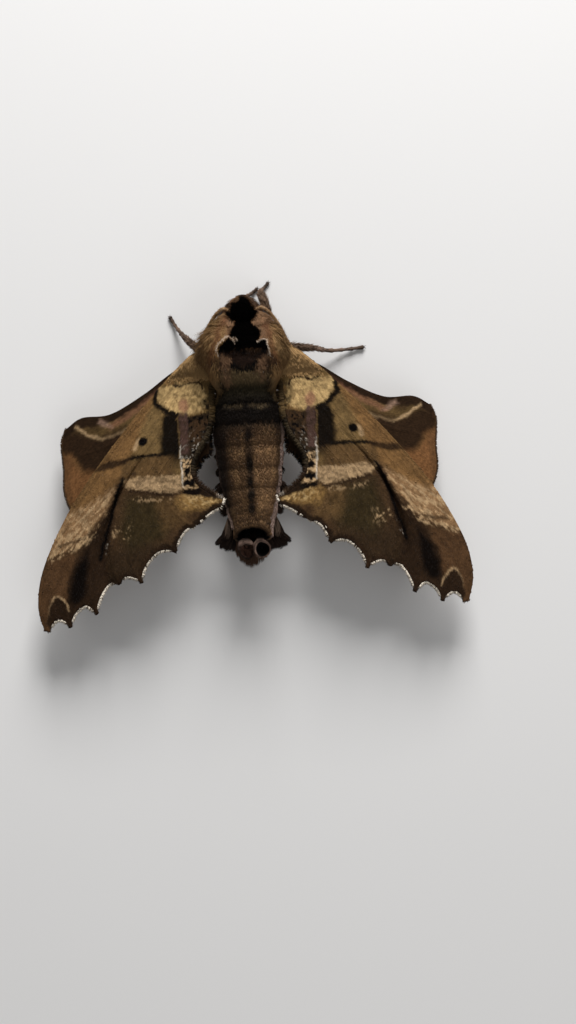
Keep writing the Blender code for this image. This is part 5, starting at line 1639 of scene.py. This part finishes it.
for label, side in SIDES.items():
    rings = limb_rings(flipped(PALP, side), 14, 40, PALP_SIZE)
    points, faces = limb(rings)
    stem = add_mesh(f"palp_{label}_stem", points, faces, palp_colours(points))
    finish_piece(stem, short_scales, (f"palp_{label}",))
    coat_piece(f"palp_{label}_coat", [
        grow(everywhere, 800, 0.42, 0.13, 0.25, 560 + side, wild=0.3, kind="long", grid=rings,
             tree=None, colour_of=palp_colours),
    ], hair)


# The antennae: one stiff feeler from behind each eye, laid back under the wing's front edge. It
# is a chain of short joints, pale-scaled above and toothed with fine brown lashes below.
ANTENNA = (
    (1.3, 17.2, 7.4, 0.42), (2.3, 17.9, 7.9, 0.44), (3.4, 17.2, 7.35, 0.46),
    (4.5, 15.7, 6.5, 0.48), (5.35, 14.0, 5.4, 0.48), (6.8, 11.8, 4.95, 0.45),
    (8.7, 9.6, 4.8, 0.38), (10.4, 7.6, 4.6, 0.25),
)
ANTENNA_JOINTS = 46


def antenna_size(share):
    """Each joint widens from its base and steps in at the next."""
    step = np.mod(share * ANTENNA_JOINTS, 1.0)
    return 0.5 * (0.84 + 0.26 * step**2) * (1 - 0.5 * ease(0.85, 1.0, share))


def antenna_colours(points):
    found = np.tile(pigment(120, 92, 64), (len(points), 1))
    return tint(found, ease(0.0, 0.7, cloud(points, 0.3, 71)), pigment(150, 124, 96))


for label, side in SIDES.items():
    rings = limb_rings(flipped(ANTENNA, side), 56, 28, antenna_size)
    points, faces = limb(rings)
    feeler = add_mesh(f"antenna_{label}_shaft", points, faces, antenna_colours(points))
    finish_piece(feeler, short_scales, (f"antenna_{label}",))
    below = rings[:, :, 2] < rings[:, :, 2].mean(axis=1, keepdims=True)
    coat_piece(f"antenna_{label}_lashes", [
        grow(lambda p: below[:-1].ravel(), 900, 0.26, 0.05, 0.9, 580 + side, wild=0.3,
             grid=rings, tree=None, colour_of=lambda p: np.tile(pigment(86, 58, 40), (len(p), 1))),
        grow(lambda p: ~below[:-1].ravel(), 900, 0.2, 0.09, 0.12, 584 + side, wild=0.15,
             grid=rings, tree=None, colour_of=antenna_colours),
    ], hair)


# The legs: six slender legs of scaled horn. Thigh and shin wear flat scales, the foot is five
# short joints that end in two hooked claws, and the mid and hind shins carry pairs of spurs.
LEGS = {
    "foreleg_left": (
        (-1.6, 13.3, 4.6, 0.75), (-1.9, 15.2, 2.7, 0.68), (-2.3, 17.6, 2.4, 0.6),
        (-0.9, 19.4, 2.0, 0.5), (0.4, 20.3, 1.1, 0.38), (1.1, 20.8, 0.38, 0.3),
        (1.85, 21.4, 0.2, 0.32),
    ),
    "foreleg_right": (
        (1.6, 13.3, 4.6, 0.75), (2.1, 15.2, 2.8, 0.7), (2.9, 17.4, 3.0, 0.68),
        (2.75, 19.2, 3.2, 0.66), (2.3, 20.5, 2.3, 0.5), (2.45, 21.1, 0.9, 0.33),
        (2.8, 21.5, 0.32, 0.3), (3.3, 22.1, 0.2, 0.32),
    ),
    "midleg_left": (
        (-2.0, 11.3, 4.6, 0.75), (-3.1, 12.0, 2.6, 0.65), (-5.4, 13.1, 3.2, 0.6),
        (-7.4, 15.0, 2.1, 0.5), (-8.4, 16.2, 1.1, 0.36), (-9.1, 17.3, 0.4, 0.3),
        (-9.6, 18.2, 0.22, 0.36),
    ),
    "midleg_right": (
        (2.0, 11.3, 4.6, 0.75), (3.1, 12.0, 2.6, 0.65), (5.4, 13.2, 3.2, 0.6),
        (8.3, 13.2, 2.5, 0.5), (10.6, 12.85, 1.5, 0.4), (12.8, 12.95, 0.6, 0.32),
        (15.3, 13.2, 0.22, 0.36),
    ),
    "hindleg_left": (
        (-1.8, 8.9, 4.2, 0.75), (-2.7, 8.1, 2.4, 0.65), (-5.6, 5.4, 2.9, 0.62),
        (-8.2, -0.6, 2.0, 0.5), (-8.9, -2.6, 1.2, 0.36), (-9.4, -4.4, 0.5, 0.3),
        (-9.9, -6.4, 0.22, 0.34),
    ),
    "hindleg_right": (
        (1.8, 8.9, 4.2, 0.75), (2.7, 8.1, 2.4, 0.65), (5.6, 5.4, 2.9, 0.62),
        (8.2, -0.6, 2.0, 0.5), (8.9, -2.6, 1.2, 0.36), (9.4, -4.4, 0.5, 0.3),
        (9.9, -6.4, 0.22, 0.34),
    ),
}
FOOT_START = 0.52  # share of the leg where the five joints of the foot begin
FOOT_JOINTS = 5
LEG_STEPS = 26
LEG_SIDES = 32
SPUR_LENGTH = 0.95
CLAW_LENGTH = 0.42
LEG_TUFTS = 1000


def leg_size(share):
    """Slimmer than the solid by the depth of the scales, and swollen at each joint of the foot."""
    foot = ease(FOOT_START, FOOT_START + 0.06, share)
    step = np.mod(np.maximum(share - FOOT_START, 0) / (1 - FOOT_START) * FOOT_JOINTS, 1.0)
    return 0.8 * (1 - foot) + foot * (0.6 + 0.24 * step**3)


def settled(rings):
    """A leg lowered so that the end of its slimmer foot still stands on the floor."""
    share = np.linspace(0, 1, len(rings))
    gap = rings[-1, :, 2].min()
    lowered = rings.copy()
    lowered[..., 2] -= (gap * ease(0.6, 1.0, share))[:, None]
    lowered[..., 2] = np.maximum(lowered[..., 2], 0.0)
    return lowered


def leg_colours(points):
    found = np.tile(pigment(98, 80, 68), (len(points), 1))
    found = tint(found, ease(0.0, 0.7, cloud(points, 0.5, 81)), pigment(66, 54, 46))
    found = tint(found, 0.6 * ease(0.2, 0.9, cloud(points, 0.4, 82)), pigment(140, 116, 102))
    found = tint(found, 0.6 * ease(2.2, 3.6, points[:, 2]), pigment(84, 67, 52))
    return tint(found, 0.7 * ease(1.0, 0.3, points[:, 2]), pigment(52, 45, 40))


def joined(parts):
    """Several closed meshes as the points and faces of one."""
    points, faces, first = [], [], 0
    for some_points, some_faces in parts:
        points.append(some_points)
        faces += [some + first for some in some_faces]
        first += len(some_points)
    return np.concatenate(points), faces


def spine_mesh(root, along, length, width, curl=0.0, sides=10):
    """A tapered spine that may curl down to its tip."""
    joints = [
        (*(root + along * length * s + np.array([0, 0, -curl * length * s * s])),
         width * (1 - 0.92 * s)) for s in (0.0, 0.35, 0.7, 1.0)
    ]
    return limb(limb_rings(joints, 5, sides))


claw_horn = scaled_material("claw_horn", 0.2, 0.15, 0.004, 0.35)
leg_coats = []
for index, (name, joints) in enumerate(LEGS.items()):
    rings = settled(limb_rings(joints, LEG_STEPS, LEG_SIDES, leg_size))
    middles = rings.mean(axis=1)
    shin_end = int(FOOT_START * len(middles))
    parts = [limb(rings)]
    if not name.startswith("foreleg"):
        pairs = (shin_end,) if name.startswith("midleg") else (shin_end, int(shin_end * 0.86))
        for place in pairs:
            heading = unit(middles[place + 4] - middles[place])
            across = unit(np.cross(heading, (0, 0, 1.0)))
            for turn in (-1, 1):
                way = unit(heading + across * 0.45 * turn + np.array([0, 0, -0.35]))
                parts.append(spine_mesh(middles[place], way, SPUR_LENGTH, 0.12))
    points, faces = joined(parts)
    leg = add_mesh(f"{name}_limb", points, faces, leg_colours(points))
    finish_piece(leg, short_scales, (name,))
    end, heading = middles[-1], unit((middles[-1] - middles[-8]) * (1, 1, 0))
    across = np.cross(heading, (0, 0, 1.0))
    claws = joined([
        spine_mesh(end + (0, 0, 0.06), unit(heading + across * 0.6 * turn), CLAW_LENGTH, 0.07, 0.35)
        for turn in (-1, 1)
    ])
    claws[0][:, 2] = np.maximum(claws[0][:, 2], 0.0)
    pair = add_mesh(f"{name}_claws", *claws, np.tile(pigment(46, 30, 20), (len(claws[0]), 1)))
    finish_piece(pair, claw_horn)
    leg_coats.append(grow(
        everywhere, LEG_TUFTS, lambda p: 0.24 + 0.45 * ease(1.4, 3.2, p[:, 2]), 0.1,
        lambda p: 0.08 + 0.25 * ease(1.4, 3.2, p[:, 2]), 600 + index,
        wild=0.2, grid=rings, tree=None, colour_of=leg_colours,
        chart=(index / len(LEGS), 1 / len(LEGS)),
    ))
coat_piece("leg_coat", leg_coats, hair)


# The tail: two clasping lobes that curl up and open as scaled cups with painted shade inside, dark
# tufts that fan on each side under them, a soft brush below, and tufts of long scales along the
# flanks.
CLASPER_STEM = ((0.78, -9.75, 6.25, 0.5), (0.85, -10.7, 7.0, 0.55), (1.02, -11.7, 7.5, 0.72))
STEM_SIZE = 0.85
TAIL_TUFT = (  # root, tip, half width, half thickness; the x of each is for the right side
    ((2.7, -8.2, 5.9), (3.9, -11.2, 5.8), 0.6, 0.45),
    ((2.6, -9.5, 5.7), (4.85, -11.55, 5.6), 0.5, 0.4),
    ((2.4, -9.4, 5.5), (4.25, -12.1, 5.3), 0.8, 0.45),
    ((2.1, -9.4, 5.4), (3.6, -12.45, 5.0), 0.8, 0.45),
    ((1.9, -9.4, 5.3), (2.9, -12.5, 4.8), 0.8, 0.5),
    ((1.6, -9.5, 5.3), (2.2, -12.7, 4.7), 0.8, 0.5),
)
RIM_TUFT = ((2.75, -8.2, 6.4), (3.35, -10.9, 5.9), 0.6, 0.25)
TAIL_BRUSH = (
    ((0.0, -9.4, 5.2), (-0.4, -14.75, 5.2), 1.0, 0.9),
    ((-0.5, -9.4, 5.3), (-1.0, -14.5, 5.1), 0.8, 0.8),
    ((0.5, -9.4, 5.3), (0.25, -14.5, 5.1), 0.8, 0.8),
    ((-0.9, -9.4, 5.3), (-1.6, -14.0, 5.1), 0.7, 0.7),
    ((0.9, -9.4, 5.3), (0.9, -14.1, 5.1), 0.7, 0.7),
    ((-1.3, -9.3, 5.4), (-2.05, -13.3, 5.2), 0.6, 0.5),
    ((1.3, -9.3, 5.4), (1.55, -13.5, 5.2), 0.6, 0.5),
)
SIDE_TUFTS = (  # y of the root, half width of the body there, reach beyond it
    (0.6, 4.0, 0.2), (-1.5, 3.8, 0.35), (-3.6, 3.65, 0.85), (-6.4, 3.1, 0.85),
)
SIDE_TUFT_HEIGHT = 5.0
CUPS = {  # centre of the mouth, way that it faces, half its width and length, wall, turn
    "left": ((-0.8, -12.15, 8.4), (0.12, -0.5, 0.86), (1.06, 1.16), 0.2, 2.2),
    "right": ((1.1, -12.15, 8.7), (0.12, -0.2, 1.0), (0.98, 1.2), 0.17, 0.4),
}
TUFT_HAIRS = {"fan": 150, "rim": 110, "flank": 180, "brush": 180}
TUFT_TONES = {"fan": pigment(40, 31, 26), "rim": pigment(100, 84, 72),
              "flank": pigment(46, 36, 30), "brush": pigment(76, 57, 45)}
CUP_SIDES = 56
CUP_DEPTH = 1.5


def cup_of(centre, axis, half, wall, phase):
    """The outer and the inner rings of a lopsided bowl with a wavy lip, from its foot to its
    mouth and back. The wall is thicker on one side of the mouth than on the other."""
    across = unit(np.cross((0.0, 1.0, 0.2), axis))
    over = np.cross(axis, across)
    turn = np.arange(CUP_SIDES) * 2 * math.pi / CUP_SIDES
    uneven = 1 + 0.05 * np.cos(2 * turn + phase) + 0.04 * np.cos(3 * turn - phase)
    round_ = (np.cos(turn)[:, None] * across * half[0]
              + np.sin(turn)[:, None] * over * half[1]) * uneven[:, None]
    wave = axis * (0.09 * np.cos(2 * turn - phase) + 0.05 * np.cos(5 * turn))[:, None]
    climb = np.linspace(0.12, 0.5, 14) * math.pi
    outer = [centre + round_ * math.sin(c) ** 0.7 - axis * CUP_DEPTH * math.cos(c)
             + wave * math.sin(c) ** 4 for c in climb]
    lip = 1 - wall / half[0]
    shift = np.array([0.55, -0.6, 0.0]) * wall
    dip = np.linspace(0.5, 0.1, 12) * math.pi
    inner = [centre + shift + round_ * lip * math.sin(c) ** 0.8
             - axis * (CUP_DEPTH - 0.2) * 0.8 * math.cos(c) + wave * math.sin(c) ** 4 for c in dip]
    return np.array(outer), np.array(inner)


def bundle(root, tip, half_width, half_thickness, part, rng, width, blunt=1.05,
           root_shade=0.75):
    """A spreading bundle of long hairs from one root to about one tip, as many and of the tone
    that its part of the tail has."""
    count, tone = TUFT_HAIRS[part], TUFT_TONES[part]
    root, tip = np.array(root, float), np.array(tip, float)
    span = np.linalg.norm(tip - root)
    along = (tip - root) / span
    across = unit(np.cross(along, (0.0, 0.0, 1.0)))
    over = np.cross(across, along)
    u, v = rng.uniform(-1, 1, (2, count))
    starts = (root + np.outer(u * half_width * 0.55, across) + np.outer(v * half_thickness, over)
              + np.outer(rng.uniform(0, 0.3 * span, count), along))
    out = u * np.sqrt(rng.random(count))
    short = rng.uniform(0, 0.45, count) ** 1.5 + 0.13 * out**2
    ends = (tip + np.outer(out * half_width * blunt, across)
            + np.outer(v * half_thickness * 0.6, over) - np.outer(short * span, along))
    lengths = np.linalg.norm(ends - starts, axis=1)
    tones = tone * rng.uniform(0.75, 1.25, count)[:, None]
    return tufts(starts, ends - starts, np.tile(over, (count, 1)), lengths,
                 rng.uniform(0.7, 1.3, count) * width, rng.uniform(-0.03, 0.05, count), tones,
                 starts[:, :2] / CHART_REACH + 0.5, "long", root_shade=root_shade)


def side_ways(row, side):
    """A row of the tables above on the left or the right side."""
    root, tip, half_width, half_thickness = row
    return (side * root[0], *root[1:]), (side * tip[0], *tip[1:]), half_width, half_thickness


def clasper_colours(points, depths):
    """Pale ahead and on the right lobe's lip, with painted shade: brown behind and more so on the left
    lobe, near black towards the tail's hollow and low down, and dark inside, where depths is 1.
    """
    x, y, z = points.T
    found = np.tile(pigment(124, 103, 92), (len(points), 1))
    # Painted shade: the lip darkens to brown towards the rear and on the left lobe.
    painted_shade = ease(-0.3, 0.9, -0.9 * (y + 12.0) - 0.45 * x + 0.8 * cloud(points, 0.5, 91))
    found = tint(found, 0.1 + 0.85 * painted_shade, pigment(50, 37, 30))
    # Painted shade: near black towards the tail's hollow and below the cups' lips.
    found = tint(found, np.maximum(ease(-11.3, -10.7, y), ease(8.2, 7.0, z)), pigment(9, 6, 5))
    # Painted shade inside the cups: brown on the left, and near black in the right lobe's mouth, in
    # blotches.
    inside = tint(np.tile(pigment(88, 64, 54), (len(points), 1)),
                  ease(-0.2, 0.3, x) + 0.6 * ease(-0.2, 0.8, cloud(points, 0.5, 92)),
                  pigment(9, 6, 5))
    return tint(found, depths, inside)


def clasper_outside(points):
    return clasper_colours(points, np.zeros(len(points)))


for label, side in SIDES.items():
    centre, axis, half, wall, phase = CUPS[label]
    outer, inner = cup_of(np.array(centre), unit(np.array(axis)), half, wall, phase)
    bowl = closed_rings(np.concatenate([outer, inner]), outer[0].mean(axis=0),
                        inner[-1].mean(axis=0))
    stem = limb(limb_rings(flipped(CLASPER_STEM, side), 12, CUP_SIDES, STEM_SIZE))
    points, faces = joined([bowl, stem])
    # depths marks the cups' inner walls, where the shade is painted dark.
    depths = np.zeros(len(points))
    first = len(outer) * CUP_SIDES
    depths[first : first + len(inner) * CUP_SIDES] = ease(
        0, 2, np.arange(len(inner)).repeat(CUP_SIDES))
    depths[len(bowl[0]) - 1] = 1.0
    lobe = add_mesh(f"clasper_{label}_lobe", points, faces, clasper_colours(points, depths))
    finish_piece(lobe, short_scales, (f"clasper_{label}",))
    coat_piece(f"clasper_{label}_coat", [
        grow(everywhere, 1500, 0.38, 0.11, 0.12, 620 + side, wild=0.2, grid=outer, tree=None,
             colour_of=clasper_outside),
        grow(everywhere, 900, 0.3, 0.06, 0.2, 624 + side, wild=0.45, grid=outer[-4:], tree=None,
             vary=0.35, colour_of=clasper_outside),
    ], hair)
    rng = np.random.default_rng(630 + side)
    coat_piece(f"tail_tuft_{label}_fan", [
        *(bundle(*side_ways(row, side), "fan", rng, width=0.15, blunt=0.8) for row in TAIL_TUFT),
        bundle(*side_ways(RIM_TUFT, side), "rim", rng, width=0.1, blunt=0.9),
    ], hair, (f"tail_tuft_{label}",))
    coat_piece(f"flank_{label}_tufts", [
        bundle((side * (body_half - 0.9), y + 0.4, SIDE_TUFT_HEIGHT + 0.2),
               (side * (body_half + beyond), y - 1.5, SIDE_TUFT_HEIGHT - 0.2),
               0.7, 0.4, "flank", rng, width=0.13)
        for y, body_half, beyond in SIDE_TUFTS
    ], hair)
rng = np.random.default_rng(640)
# Painted shade: the brush's roots, which lie in the tail's hollow, are painted near black.
coat_piece("tail_brush_hair", [
    bundle(*row, "brush", rng, width=0.14, blunt=0.9, root_shade=0.25) for row in TAIL_BRUSH
], hair, ("tail_brush",))
